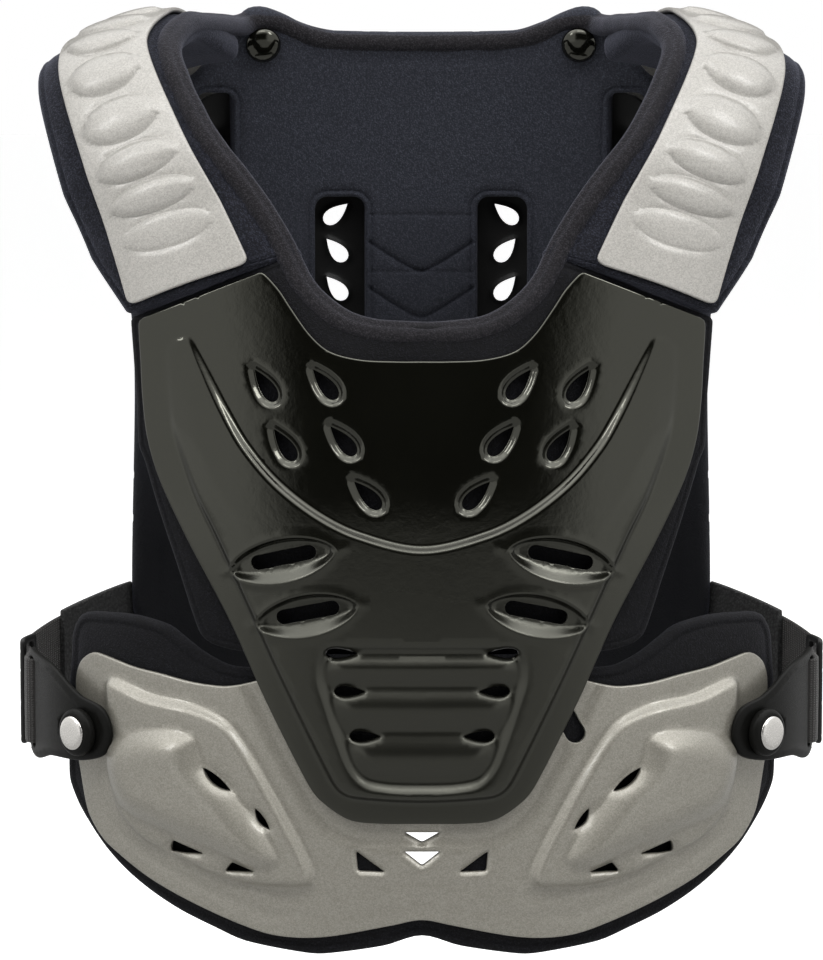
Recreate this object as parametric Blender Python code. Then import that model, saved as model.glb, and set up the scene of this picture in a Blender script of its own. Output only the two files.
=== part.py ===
"""Roost deflector for motocross: a chest and back protector of moulded plates on foam liners."""

import bpy
import numpy as np
from math import ceil, cos, pi, radians, sin
from mathutils import Vector
from mathutils.geometry import delaunay_2d_cdt

# All sizes are in metres, X across, Y from front to back, Z up.
# The origin lies under the shoulder pads at their crest, in the middle of the body.

GAP = 0.0004
# Gap between plates and foam that lie on the same curve
PLATE_SEAT = 0.0010

# Body form that the front and the back follow
CHEST_FORM_HALF = 0.212
CHEST_DEPTH = 0.134
BELLY_FORM_HALF = 0.198
BACK_FORM_HALF = 0.225
# The back and the shoulders keep their shares of the chest's depth
BACK_DEPTH_SHARE = 0.896
BACK_DEPTH = BACK_DEPTH_SHARE * CHEST_DEPTH

# Chest plate
CHEST_HALF = 0.141
CHEST_TOP = -0.106
CHEST_HEIGHT = 0.270
CHEST_WALL = 0.0026
PANEL_RAISE = 0.004
PANEL_SLOPE = 0.005
RECESS_DEPTH = PANEL_RAISE
RECESS_SLOPE = 0.006
RIB_RAISE = 0.0035
VENT_LENGTH = 0.020
VENT_WIDTH = 0.0095
SMALL_VENT_LENGTH = 0.0155
SMALL_VENT_WIDTH = 0.0055
LOUVRE_LENGTH = 0.050
LOUVRE_HEIGHT = 0.022
LOUVRE_DEPTH = 0.004
LOUVRE_FLOOR = 1.3
SLOT_LENGTH = 0.031
SLOT_HEIGHT = 0.0065

# Belly plate
BELLY_HALF = 0.176
# The belly plate starts this far down the chest plate
BELLY_TOP_SHARE = 0.7185
BELLY_TOP = CHEST_TOP - BELLY_TOP_SHARE * CHEST_HEIGHT
BELLY_HEIGHT = 0.135
BELLY_WALL = 0.0026
WING_RAISE = 0.004
WING_SLOPE = 0.006
DOME_RAISE = 0.006
DOME_SLOPE = 0.014
ADJUST_HOLE = 0.010

# Foam
CHEST_FOAM = 0.011
BELLY_FOAM = 0.008
BACK_FOAM = 0.012
SHOULDER_FOAM = 0.015
FOAM_ROUND = 0.003

# Back
BACK_HALF = 0.152
BACK_TOP = 0.010
BACK_HEIGHT = 0.370
BACK_WALL = 0.0026
WINDOW_CORNER = 0.25
BACK_VENT_LENGTH = 0.016
BACK_VENT_WIDTH = 0.009

# Shoulders
SHOULDER_HALF = 0.165
SHOULDER_REACH_SHARE = 0.828
SHOULDER_REACH = SHOULDER_REACH_SHARE * CHEST_DEPTH
SHOULDER_RISE = 0.126
BAND_WIDTH = 0.060
SHOULDER_WALL = 0.0026
CAMBER = 0.004
BUMP_PITCH = 0.0235
BUMP_LENGTH = 0.020
BUMP_RAISE = 0.003

# Side fastening
STUD_SHARE = 0.935
STUD_DOWN_SHARE = 0.289
STUD_HEIGHT = BELLY_TOP - STUD_DOWN_SHARE * BELLY_HEIGHT
KNOB = 0.024
KNOB_HEIGHT = 0.0055
STUD_PLAY = 0.0008
POST = 0.011
COLLAR = 0.003
CAP = 0.017
CAP_RISE = 0.0014
TAB_LENGTH = 0.092
TAB_HEIGHT = 0.057
# The webbing's middle lies this far above the stud, as a share of the tab's height
WEB_MIDDLE = 0.11
TAB_WALL = 0.0032
TAB_LIFT = 0.0025
TAB_FALL = 0.60
TAB_SLOT_AT = 0.66
TAB_SLOT_WIDTH = 0.0085
SLOT_PLAY = 0.002
SLOT_CORNER = 0.002
KEYHOLE_LENGTH = 0.024
KEYHOLE_PLAY = 0.0024
WEB_WIDTH = 0.044
WEB_WALL = 0.0022
SLIDER_HEIGHT = 0.056
SLIDER_LENGTH = 0.020
SLIDER_BAR = 0.0045
SLIDER_WALL = 0.003
SLIDER_PLAY = 0.0030
SLIDER_CORNER = 0.003
STRAP_PAD_HEIGHT = 0.052
STRAP_PAD_WALL = 0.003
SNAP = 0.019
SNAP_RISE = 0.006
SNAP_SEAT = 0.0007

# Mesh steps
FINE = 0.0125
MIDDLE = 0.0150
COARSE = 0.0240

# Depth of the chest down its middle: height below the chest top, depth
CHEST_PROFILE = (
    (-0.20, 0.76),
    (0.00, 0.835),
    (0.08, 0.883),
    (0.24, 0.940),
    (0.42, 0.977),
    (0.70, 1.000),
    (1.30, 1.000),
)
# Depth of the back down its middle: height below the back top, depth
BACK_PROFILE = (
    (-0.10, 0.74),
    (0.00, 0.855),
    (0.08, 0.930),
    (0.20, 0.985),
    (0.40, 1.000),
    (0.70, 0.970),
    (1.10, 0.930),
)

# Half outlines: across, down, corner
CHEST_OUTLINE = (
    (0.000, 0.158, 0),
    (0.090, 0.158, 0),
    (0.216, 0.155, 0),
    (0.321, 0.141, 0),
    (0.390, 0.111, 0),
    (0.460, 0.061, 0),
    (0.496, 0.033, 0),
    (0.559, 0.000, 1),
    (1.000, 0.094, 1),
    (0.993, 0.165, 0),
    (0.985, 0.238, 0),
    (0.967, 0.310, 0),
    (0.924, 0.382, 0),
    (0.824, 0.490, 0),
    (0.675, 0.633, 0),
    (0.549, 0.777, 0),
    (0.409, 0.921, 0),
    (0.361, 0.957, 0),
    (0.260, 0.993, 0),
    (0.155, 1.000, 0),
    (0.000, 1.000, 0),
)
# The raised main panel lies between a V under the bib and its own outer line.
PANEL_OUTLINE = (
    (0.000, 0.491, 0),
    (0.216, 0.466, 0),
    (0.355, 0.431, 0),
    (0.494, 0.376, 0),
    (0.599, 0.313, 0),
    (0.670, 0.252, 0),
    (0.741, 0.181, 0),
    (0.809, 0.111, 1),
    (0.867, 0.119, 0),
    (0.899, 0.136, 0),
    (0.906, 0.163, 0),
    (0.899, 0.236, 0),
    (0.880, 0.297, 0),
    (0.801, 0.407, 0),
    (0.724, 0.487, 0),
    (0.629, 0.593, 0),
    (0.499, 0.741, 0),
    (0.329, 0.922, 0),
    (0.287, 0.949, 0),
    (0.230, 0.959, 0),
    (0.000, 0.965, 0),
)
RECESS_OUTLINE = (
    (0.000, 0.665, 0),
    (0.311, 0.669, 0),
    (0.362, 0.693, 0),
    (0.370, 0.737, 0),
    (0.349, 0.779, 0),
    (0.294, 0.864, 0),
    (0.259, 0.906, 0),
    (0.207, 0.934, 0),
    (0.123, 0.945, 0),
    (0.000, 0.947, 0),
)
CHEST_LINER_OUTLINE = (
    (0.000, 0.087, 0),
    (0.130, 0.087, 0),
    (0.206, 0.080, 0),
    (0.268, 0.070, 0),
    (0.352, 0.036, 0),
    (0.423, -0.003, 0),
    (0.446, -0.030, 1),
    (1.050, 0.089, 1),
    (1.040, 0.166, 0),
    (1.029, 0.239, 0),
    (1.022, 0.321, 0),
    (1.001, 0.348, 0),
    (0.953, 0.429, 0),
    (0.864, 0.564, 0),
    (0.818, 0.636, 0),
    (0.768, 0.681, 0),
    (0.626, 0.693, 0),
    (0.000, 0.693, 0),
)
BELLY_OUTLINE = (
    (0.000, 0.030, 0),
    (0.400, 0.035, 0),
    (0.511, 0.069, 0),
    (0.561, 0.079, 0),
    (0.647, 0.072, 0),
    (0.735, 0.051, 0),
    (0.824, 0.033, 0),
    (0.902, 0.007, 0),
    (0.946, 0.000, 0),
    (0.984, 0.040, 0),
    (1.000, 0.103, 0),
    (1.000, 0.213, 0),
    (0.999, 0.365, 0),
    (0.990, 0.450, 0),
    (0.966, 0.604, 0),
    (0.926, 0.690, 0),
    (0.883, 0.737, 0),
    (0.769, 0.829, 0),
    (0.608, 0.919, 0),
    (0.450, 0.987, 0),
    (0.351, 1.000, 0),
    (0.252, 0.989, 0),
    (0.082, 0.944, 0),
    (0.000, 0.924, 0),
)
# The wing is on one side only, so its outline goes all the way round.
WING_OUTLINE = (
    (0.890, 0.075, 0),
    (0.765, 0.122, 0),
    (0.633, 0.149, 0),
    (0.533, 0.211, 0),
    (0.448, 0.368, 0),
    (0.335, 0.636, 0),
    (0.299, 0.746, 0),
    (0.305, 0.805, 0),
    (0.364, 0.820, 0),
    (0.478, 0.817, 0),
    (0.593, 0.790, 0),
    (0.709, 0.730, 0),
    (0.801, 0.676, 0),
    (0.878, 0.560, 0),
    (0.900, 0.380, 0),
    (0.905, 0.180, 0),
)
DOME_OUTLINE = (
    (0.597, 0.356, 0),
    (0.520, 0.452, 0),
    (0.432, 0.600, 0),
    (0.392, 0.700, 0),
    (0.420, 0.737, 0),
    (0.474, 0.741, 0),
    (0.540, 0.711, 0),
    (0.608, 0.674, 0),
    (0.693, 0.637, 0),
    (0.846, 0.548, 0),
    (0.881, 0.333, 0),
    (0.761, 0.252, 0),
    (0.631, 0.259, 0),
)
BELLY_LINER_OUTLINE = (
    (0.000, 0.010, 0),
    (0.540, 0.010, 0),
    (0.625, -0.030, 0),
    (0.690, -0.085, 0),
    (0.740, -0.127, 0),
    (0.840, -0.153, 0),
    (0.932, -0.150, 0),
    (0.976, -0.145, 0),
    (1.009, -0.127, 0),
    (1.036, -0.063, 0),
    (1.043, 0.016, 0),
    (1.054, 0.260, 0),
    (1.054, 0.499, 0),
    (1.034, 0.568, 0),
    (1.002, 0.634, 0),
    (0.930, 0.747, 0),
    (0.832, 0.848, 0),
    (0.713, 0.933, 0),
    (0.597, 0.993, 0),
    (0.510, 1.033, 0),
    (0.339, 1.064, 0),
    (0.280, 1.065, 0),
    (0.111, 1.030, 0),
    (0.000, 0.991, 0),
)
BACK_OUTLINE = (
    (0.000, 0.000, 0),
    (0.348, -0.003, 0),
    (0.412, -0.012, 0),
    (0.489, -0.028, 0),
    (0.560, -0.037, 0),
    (0.620, -0.030, 0),
    (0.800, 0.060, 0),
    (1.190, 0.160, 1),
    (1.140, 0.215, 0),
    (1.066, 0.284, 0),
    (1.013, 0.392, 0),
    (1.000, 0.514, 0),
    (1.013, 0.811, 0),
    (0.987, 0.886, 0),
    (0.908, 0.946, 0),
    (0.757, 0.984, 0),
    (0.526, 1.000, 0),
    (0.000, 1.000, 0),
)
BACK_PLATE_OUTLINE = (
    (0.000, 0.120, 0),
    (0.300, 0.110, 0),
    (0.560, 0.080, 0),
    (0.760, 0.100, 1),
    (1.040, 0.190, 1),
    (1.020, 0.230, 0),
    (0.960, 0.330, 0),
    (0.940, 0.514, 0),
    (0.950, 0.800, 0),
    (0.920, 0.870, 0),
    (0.840, 0.930, 0),
    (0.700, 0.962, 0),
    (0.500, 0.972, 0),
    (0.000, 0.972, 0),
)

# Teardrop vents of the chest: across, down, lean from upright in degrees
CHEST_VENTS = (
    (0.550, 0.204, 35),
    (0.340, 0.200, 40),
    (0.482, 0.311, 35),
    (0.277, 0.302, 42),
    (0.191, 0.400, 45),
)
# Vents in the recess: across, down
RECESS_VENTS = (
    (0.280, 0.687),
    (0.252, 0.757),
    (0.199, 0.839),
)
# Louvres: across, down, fall of the outer end in degrees, size
LOUVRES = (
    (0.482, 0.515, 13, 1.0),
    (0.397, 0.614, 12, 0.96),
)
# Grooves between the ribs of the recess: down
RIB_GROOVES = (0.672, 0.746, 0.828, 0.925)

# Slits of the belly plate: from across, from down, to across, to down
BELLY_SLITS = (
    (0.603, 0.375, 0.525, 0.459),
    (0.462, 0.517, 0.420, 0.596),
)
# Three cornered vents of the belly plate: three times across, down
BELLY_VENTS = (
    ((0.697, 0.660), (0.709, 0.707), (0.607, 0.702)),
    ((0.529, 0.724), (0.549, 0.760), (0.464, 0.756)),
    ((0.186, 0.671), (0.181, 0.745), (0.105, 0.747)),
)
CENTRE_VENTS = (
    ((0.052, 0.602), (0.000, 0.640)),
    ((0.052, 0.671), (0.000, 0.724)),
)
# Holes that set the height of the belly plate: across each, and down
ADJUST_HOLES = (0.432, -0.300)
ADJUST_DOWN = 0.245
# Windows of the back liner: across, down to the top, width, height
BACK_WINDOWS = (
    (0.289, 0.235, 0.180, 0.205),
    (0.655, 0.235, 0.165, 0.180),
    (0.727, 0.083, 0.125, 0.110),
)
# Buttons at the top of the back liner: across, down
SNAP_AT = (0.560, 0.012)
# Vents of the back plate behind those windows: across, down, lean in degrees
BACK_VENTS = (
    (0.296, 0.262, 50),
    (0.296, 0.316, -40),
    (0.296, 0.372, -40),
    (0.670, 0.265, -40),
    (0.670, 0.330, -40),
    (0.740, 0.148, -35),
)

# Shoulder band, front to back: across, back, up, yaw and roll in degrees,
# inner and outer edge of the plate, inner and outer edge of the pad
SHOULDER_TABLE = (
    (0.712, -0.892, -0.925, 20, 0, -0.60, 0.50, -1.02, 0.60),
    (0.775, -0.800, -0.650, 18, 4, -0.50, 0.50, -0.83, 0.80),
    (0.855, -0.676, -0.357, 15, 8, -0.38, 0.49, -0.62, 0.82),
    (0.965, -0.360, -0.008, 8, 15, -0.36, 0.42, -0.60, 0.70),
    (0.932, 0.000, 0.119, -4, 17, -0.41, 0.42, -0.62, 0.74),
    (0.872, 0.420, 0.080, -8, 16, -0.43, 0.42, -0.68, 0.72),
    (0.850, 0.940, -0.068, -16, 12, -0.44, 0.43, -0.92, 0.72),
    (0.810, 1.024, -0.500, -22, 2, -0.48, 0.44, -1.08, 0.72),
)
# Stations along the band, as shares of its length
PLATE_FROM = 0.020
PLATE_TO = 0.985
PAD_FROM = 0.006
PAD_TO = 0.860
PAD_CUT = 0.085
FIRST_BUMP = 0.125
BUMP_SHARE = 0.68

# Turned profiles, foot to tip: share of the radius, share of the height
KNOB_PROFILE = (
    (0.93, 0.00),
    (1.00, 0.18),
    (1.00, 0.67),
    (0.85, 1.00),
)
CAP_PROFILE = (
    (1.00, 0.00),
    (1.00, 0.30),
    (0.80, 0.80),
    (0.40, 1.00),
)
SNAP_PROFILE = (
    (1.00, 0.00),
    (1.00, 0.25),
    (0.86, 0.62),
    (0.50, 0.92),
    (0.30, 1.00),
)

# Tab outline: back from the stud, up from the stud, corner
TAB_OUTLINE = (
    (-0.20, 0.088, 0),
    (-0.14, 0.238, 0),
    (0.02, 0.317, 0),
    (0.24, 0.484, 0),
    (0.40, 0.546, 0),
    (0.78, 0.581, 0),
    (0.80, 0.528, 0),
    (0.80, -0.317, 0),
    (0.78, -0.370, 0),
    (0.58, -0.387, 0),
    (0.34, -0.299, 0),
    (0.02, -0.264, 0),
    (-0.14, -0.194, 0),
    (-0.20, -0.053, 0),
)

# Route of the webbing from the tab slot to the back: along the side, outward, rise
WEB_ROUTE = (
    (0.740, -0.0020, 0.00),
    (0.690, -0.0017, 0.00),
    (0.660, 0.0018, 0.00),
    (0.695, 0.0052, 0.00),
    (0.780, 0.0055, 0.00),
    (0.900, 0.0048, 0.00),
    (1.010, 0.0052, 0.01),
    (1.085, 0.0092, 0.02),
    (1.155, 0.0128, 0.04),
    (1.240, 0.0130, 0.08),
    (1.420, 0.0105, 0.18),
    (1.700, 0.0080, 0.30),
    (1.960, 0.0104, 0.38),
    (2.205, 0.0156, 0.42),
    (2.440, 0.0226, 0.43),
)
# The stitched end lies inside the webbing: from and to, as shares of the route
STRAP_PAD_FROM = 0.72
STRAP_PAD_TO = 0.86
SLIDER_AT = 1.09
SLIDER_LIFT = 0.0078


def smooth(share):
    share = np.clip(share, 0, 1)
    return share * share * (3 - 2 * share)


def read(table, column, at):
    """Value of one column at a place along the table, on a smooth curve through its rows."""
    rows = np.array(table, float)
    count = len(rows)
    place = np.clip(at, 0, 1) * (count - 1)
    first = np.minimum(place.astype(int), count - 2)
    t = place - first
    before = rows[np.maximum(first - 1, 0), column]
    here = rows[first, column]
    there = rows[first + 1, column]
    after = rows[np.minimum(first + 2, count - 1), column]
    return 0.5 * (
        2 * here
        + (there - before) * t
        + (2 * before - 5 * here + 4 * there - after) * t * t
        + (3 * here - before - 3 * there + after) * t**3
    )


def curve(rows, step):
    """Closed line through the rows, straight into each row that is marked as a corner."""
    rows = list(rows)
    count = len(rows)
    line = []
    for i in range(count):
        before, here, there, after = (rows[(i + k) % count] for k in (-1, 0, 1, 2))
        start, end = np.array(here[:2]), np.array(there[:2])
        leave = (end - start) if here[2] else (end - np.array(before[:2])) / 2
        arrive = (end - start) if there[2] else (np.array(after[:2]) - start) / 2
        length = np.linalg.norm(end - start)
        for scale, vector in ((here, leave), (there, arrive)):
            size = np.linalg.norm(vector)
            if size > length:
                vector *= length / size
        for k in range(max(1, ceil(length / step))):
            t = k / max(1, ceil(length / step))
            line.append(
                (2 * t**3 - 3 * t**2 + 1) * start
                + (t**3 - 2 * t**2 + t) * leave
                + (3 * t**2 - 2 * t**3) * end
                + (t**3 - t**2) * arrive
            )
    return np.array(line)


def scaled(rows, half, top, height):
    return [(row[0] * half, top - row[1] * height, row[2]) for row in rows]


def both_sides(rows):
    """A half outline and its mirror image, as one closed outline."""
    mirror = [(-x, z, corner) for x, z, corner in rows[::-1] if x > 0]
    return list(rows) + mirror


def turned(points, angle, centre):
    c, s = cos(angle), sin(angle)
    points = np.array(points)
    return np.stack(
        [
            centre[0] + points[:, 0] * c - points[:, 1] * s,
            centre[1] + points[:, 0] * s + points[:, 1] * c,
        ],
        axis=1,
    )


def teardrop(centre, length, width, angle, sides=9):
    """Hole with a round end and a pointed end; at angle 0 its point is up."""
    radius = width / 2
    middle = -length / 2 + radius
    ring = [(0, length / 2)]
    for k in range(sides):
        turn = radians(40) + k * radians(280) / (sides - 1)
        ring.append((-radius * sin(turn), middle + radius * cos(turn)))
    return turned(ring, angle, centre)


def oval(centre, length, width, angle, sides=12):
    ring = [
        (length / 2 * cos(2 * pi * k / sides), width / 2 * sin(2 * pi * k / sides))
        for k in range(sides)
    ]
    return turned(ring, angle, centre)


def slot(start, end, width, sides=4):
    """Long hole with round ends."""
    start, end = np.array(start), np.array(end)
    along = (end - start) / np.linalg.norm(end - start)
    aside = np.array([-along[1], along[0]])
    points = []
    for centre, way in ((end, 1), (start, -1)):
        for k in range(sides + 1):
            turn = pi / 2 - pi * k / sides
            points.append(centre + way * (along * cos(turn) + aside * sin(turn)) * width / 2)
    return np.array(points)


def rounded_box(centre, width, height, radius, sides=2):
    points = []
    for sx, sz, first in ((1, 1, 0), (-1, 1, 90), (-1, -1, 180), (1, -1, 270)):
        for k in range(sides + 1):
            turn = radians(first + 90 * k / sides)
            points.append(
                (
                    centre[0] + sx * (width / 2 - radius) + radius * cos(turn),
                    centre[1] + sz * (height / 2 - radius) + radius * sin(turn),
                )
            )
    return np.array(points)


def inside(points, polygon):
    x, y = points[:, 0], points[:, 1]
    found = np.zeros(len(points), bool)
    ends = np.roll(polygon, -1, axis=0)
    for (x0, y0), (x1, y1) in zip(polygon, ends):
        if y0 == y1:
            continue
        crosses = (y0 > y) != (y1 > y)
        found ^= crosses & (x < (x1 - x0) * (y - y0) / (y1 - y0) + x0)
    return found


def away(points, polygon):
    """Distance of each point from the line of a polygon."""
    best = np.full(len(points), np.inf)
    ends = np.roll(polygon, -1, axis=0)
    for start, end in zip(polygon, ends):
        along = end - start
        share = np.clip((points - start) @ along / max(along @ along, 1e-12), 0, 1)
        best = np.minimum(best, np.linalg.norm(points - start - share[:, None] * along, axis=1))
    return best


def flat_net(outline, holes, step, lines=(), dots=()):
    """Triangles that fill an outline and leave its holes open, with points along given lines."""
    rings = [outline] + list(holes)
    keep = [np.concatenate(rings)]
    edges = []
    start = 0
    for ring in rings:
        count = len(ring)
        edges += [(start + i, start + (i + 1) % count) for i in range(count)]
        start += count
    taken = list(rings)
    extra = [np.array(line) for line in lines] + [np.array(d) for d in dots]
    for line in extra:
        good = inside(line, outline)
        for ring in rings:
            good &= away(line, ring) > step * 0.28
        for hole in holes:
            good &= ~inside(line, hole)
        keep.append(line[good])
    rise = step * sin(radians(60))
    low, high = outline.min(axis=0), outline.max(axis=0)
    lattice = []
    for j in range(int(low[1] // rise), ceil(high[1] / rise) + 1):
        shift = step / 2 if j % 2 else 0
        for i in range(int(low[0] // step) - 1, ceil(high[0] / step) + 1):
            lattice.append((i * step + shift, j * rise))
    lattice = np.array(lattice)
    good = inside(lattice, outline)
    for ring in rings:
        good &= away(lattice, ring) > step * 0.45
    for hole in holes:
        good &= ~inside(lattice, hole)
    for line in extra:
        if len(line):
            gap = np.linalg.norm(lattice[:, None] - line[None], axis=2).min(axis=1)
            good &= gap > step * 0.5
    keep.append(lattice[good])
    points = np.concatenate(keep)
    found = delaunay_2d_cdt([Vector(p) for p in points], edges, [], 0, 1e-7)
    places = np.array([tuple(v) for v in found[0]])
    faces = np.array([f for f in found[2] if len(f) == 3])
    middles = places[faces].mean(axis=1)
    good = inside(middles, outline)
    for hole in holes:
        good &= ~inside(middles, hole)
    faces = faces[good]
    used = np.unique(faces)
    index = np.full(len(places), -1)
    index[used] = np.arange(len(used))
    places, faces = places[used], index[faces]
    a, b, c = (places[faces[:, k]] for k in range(3))
    ab, ac = b - a, c - a
    turn = ab[:, 0] * ac[:, 1] - ab[:, 1] * ac[:, 0]
    faces[turn < 0] = faces[turn < 0][:, ::-1]
    return places, faces


def rim_of(faces):
    """Edges that have a face on one side only, in the direction of that face."""
    edges = np.concatenate([faces[:, [0, 1]], faces[:, [1, 2]], faces[:, [2, 0]]])
    pairs = {tuple(edge) for edge in edges}
    return [edge for edge in pairs if (edge[1], edge[0]) not in pairs]


def material(name, colour, roughness, metallic=0.0):
    made = bpy.data.materials.new(name)
    made.use_nodes = True
    shader = made.node_tree.nodes["Principled BSDF"]
    shader.inputs["Base Color"].default_value = (*colour, 1)
    shader.inputs["Roughness"].default_value = roughness
    shader.inputs["Metallic"].default_value = metallic
    return made


def add_mesh(name, points, faces, finish, rounded=True):
    mesh = bpy.data.meshes.new(name)
    mesh.from_pydata([tuple(p) for p in points], [], [tuple(int(i) for i in f) for f in faces])
    mesh.validate()
    mesh.materials.append(finish)
    if rounded:
        mesh.shade_smooth()
        mesh.set_sharp_from_angle(angle=radians(35))
    made = bpy.data.objects.new(name, mesh)
    bpy.context.scene.collection.objects.link(made)
    return made


def laid(form, places, lift):
    """Points of a form, raised along its outward direction."""
    tiny = 0.0004
    centre = form(places)
    along = form(places + [tiny, 0]) - form(places - [tiny, 0])
    aside = form(places + [0, tiny]) - form(places - [0, tiny])
    out = np.cross(along, aside)
    out /= np.linalg.norm(out, axis=1)[:, None]
    return centre + out * np.asarray(lift).reshape(-1, 1)


def shell(name, form, net, relief, wall, finish, soft=0.0, side=1):
    """Closed wall over a net: its outer face follows the form and the relief.

    A form whose own outward direction points in has side -1, and a left copy has side 2.
    """
    places, faces = net
    sign = -1 if side == -1 else 1
    lift = relief(places) if relief else np.zeros(len(places))
    rim = rim_of(faces)
    front_places = places.copy()
    if soft:
        push = np.zeros_like(places)
        for a, b in rim:
            way = places[b] - places[a]
            inner = np.array([-way[1], way[0]]) / max(np.linalg.norm(way), 1e-9)
            push[a] += inner
            push[b] += inner
        size = np.linalg.norm(push, axis=1)
        push[size > 0] /= size[size > 0][:, None]
        front_places = places + push * soft
    front = laid(form, front_places, sign * lift)
    back = laid(form, front_places, sign * (lift - wall))
    count = len(places)
    points = [front, back]
    solid = [tuple(f) for f in faces] + [tuple(f[::-1] + count) for f in faces]
    if soft:
        ring = sorted({a for a, b in rim})
        number = {a: 2 * count + k for k, a in enumerate(ring)}
        middle = laid(form, places[ring], sign * (lift[ring] - wall / 2))
        points.append(middle)
        for a, b in rim:
            solid += [(b, a, number[a]), (b, number[a], number[b])]
            solid += [(number[b], number[a], a + count), (number[b], a + count, b + count)]
    else:
        for a, b in rim:
            solid += [(b, a, a + count), (b, a + count, b + count)]
    points = np.concatenate(points)
    if side == -1:
        solid = [f[::-1] for f in solid]
    if side == 2:
        points[:, 0] *= -1
        solid = [f[::-1] for f in solid]
    return add_mesh(name, points, solid, finish)


def profile_of(table, at):
    rows = np.array(table)
    spread = np.linspace(rows[0, 0], rows[-1, 0], 80)
    values = np.interp(spread, rows[:, 0], rows[:, 1])
    kernel = np.hanning(13)
    kernel /= kernel.sum()
    padded = np.concatenate([np.full(6, values[0]), values, np.full(6, values[-1])])
    return np.interp(at, spread, np.convolve(padded, kernel, "valid"))


def round_depth(across, half):
    return np.sqrt(np.maximum(1 - (across / half) ** 2, 0.02))


def chest_form(places):
    x, z = places[:, 0], places[:, 1]
    down = (CHEST_TOP - z) / CHEST_HEIGHT
    y = -CHEST_DEPTH * profile_of(CHEST_PROFILE, down) * round_depth(x, CHEST_FORM_HALF)
    return np.stack([x, y, z], axis=1)


def belly_form(places):
    """Outer face of the belly plate, close behind the foot of the chest plate."""
    x, z = places[:, 0], places[:, 1]
    depth = CHEST_DEPTH - CHEST_WALL - GAP
    y = -depth * round_depth(x, BELLY_FORM_HALF)
    return np.stack([x, y, z], axis=1)


def back_form(places):
    """Inner face of the back liner."""
    x, z = places[:, 0], places[:, 1]
    down = (BACK_TOP - z) / BACK_HEIGHT
    y = BACK_DEPTH * profile_of(BACK_PROFILE, down) * round_depth(x, BACK_FORM_HALF)
    return np.stack([x, y, z], axis=1)


def offset_form(form, distance):
    def moved(places):
        return laid(form, places, distance)

    return moved


def chest_rows(rows):
    return scaled(rows, CHEST_HALF, CHEST_TOP, CHEST_HEIGHT)


def belly_rows(rows):
    return scaled(rows, BELLY_HALF, BELLY_TOP, BELLY_HEIGHT)


def back_rows(rows):
    return scaled(rows, BACK_HALF, BACK_TOP, BACK_HEIGHT)


def place_of(share, half, top, height):
    return (share[0] * half, top - share[1] * height)


def mirrored(ring):
    return (np.array(ring) * [-1, 1])[::-1]


def step_up(places, outline, slope):
    """0 outside an outline, rising to 1 inside it over the slope."""
    reach = away(places, outline) / slope
    return np.where(inside(places, outline), smooth(reach), 0)


def chest_relief(places):
    panel = curve(both_sides(chest_rows(PANEL_OUTLINE)), FINE)
    recess = curve(both_sides(chest_rows(RECESS_OUTLINE)), FINE)
    height = PANEL_RAISE * step_up(places, panel, PANEL_SLOPE)
    sunk = step_up(places, recess, RECESS_SLOPE)
    height -= RECESS_DEPTH * sunk
    down = (CHEST_TOP - places[:, 1]) / CHEST_HEIGHT
    for top, bottom in zip(RIB_GROOVES, RIB_GROOVES[1:]):
        share = np.clip((down - top) / (bottom - top), 0, 1)
        height += RIB_RAISE * sunk * np.sin(pi * share)
    for across, low, fall, size in LOUVRES:
        for way in (1, -1):
            centre = place_of((way * across, low), CHEST_HALF, CHEST_TOP, CHEST_HEIGHT)
            local = turned(places - np.array(centre), radians(way * fall), (0, 0))
            reach = (local[:, 0] / (LOUVRE_LENGTH * size / 2)) ** 2
            reach += (local[:, 1] / (LOUVRE_HEIGHT * size / 2)) ** 2
            height -= LOUVRE_DEPTH * smooth(LOUVRE_FLOOR * (1 - reach))
    return height


def chest_holes():
    holes = []
    for way in (1, -1):
        for across, down, lean in CHEST_VENTS:
            centre = place_of((way * across, down), CHEST_HALF, CHEST_TOP, CHEST_HEIGHT)
            holes.append(teardrop(centre, VENT_LENGTH, VENT_WIDTH, radians(-way * lean), 7))
        for across, down in RECESS_VENTS:
            centre = place_of((way * across, down), CHEST_HALF, CHEST_TOP, CHEST_HEIGHT)
            holes.append(
                teardrop(centre, SMALL_VENT_LENGTH, SMALL_VENT_WIDTH, radians(way * 90), 5)
            )
        for across, down, fall, size in LOUVRES:
            centre = place_of((way * across, down), CHEST_HALF, CHEST_TOP, CHEST_HEIGHT)
            half = (SLOT_LENGTH * size - SLOT_HEIGHT) / 2
            ends = turned([(-half, 0), (half, 0)], radians(-way * fall), centre)
            holes.append(slot(ends[0], ends[1], SLOT_HEIGHT, 3))
    return holes


def make_chest_plate(finish):
    outline = curve(both_sides(chest_rows(CHEST_OUTLINE)), MIDDLE)
    panel = curve(both_sides(chest_rows(PANEL_OUTLINE)), FINE)
    recess = curve(both_sides(chest_rows(RECESS_OUTLINE)), FINE)
    rib_dots = []
    for edge in RIB_GROOVES[1:-1]:
        z = CHEST_TOP - edge * CHEST_HEIGHT
        rib_dots.append([(x * FINE, z) for x in range(-2, 3)])
    lines = [panel, inset(panel, PANEL_SLOPE), recess, inset(recess, RECESS_SLOPE)]
    net = flat_net(outline, chest_holes(), FINE, lines + rib_dots)
    return shell("chest_plate", chest_form, net, chest_relief, CHEST_WALL, finish)


def inset(line, distance):
    """Points a given distance inside a closed line."""
    ahead = np.roll(line, -1, axis=0) - np.roll(line, 1, axis=0)
    normal = np.stack([-ahead[:, 1], ahead[:, 0]], axis=1)
    normal /= np.linalg.norm(normal, axis=1)[:, None]
    trial = line + normal * distance
    if inside(trial, line).mean() < 0.5:
        trial = line - normal * distance
    good = inside(trial, line) & (away(trial, line) > 0.9 * distance)
    return trial[good]


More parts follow.
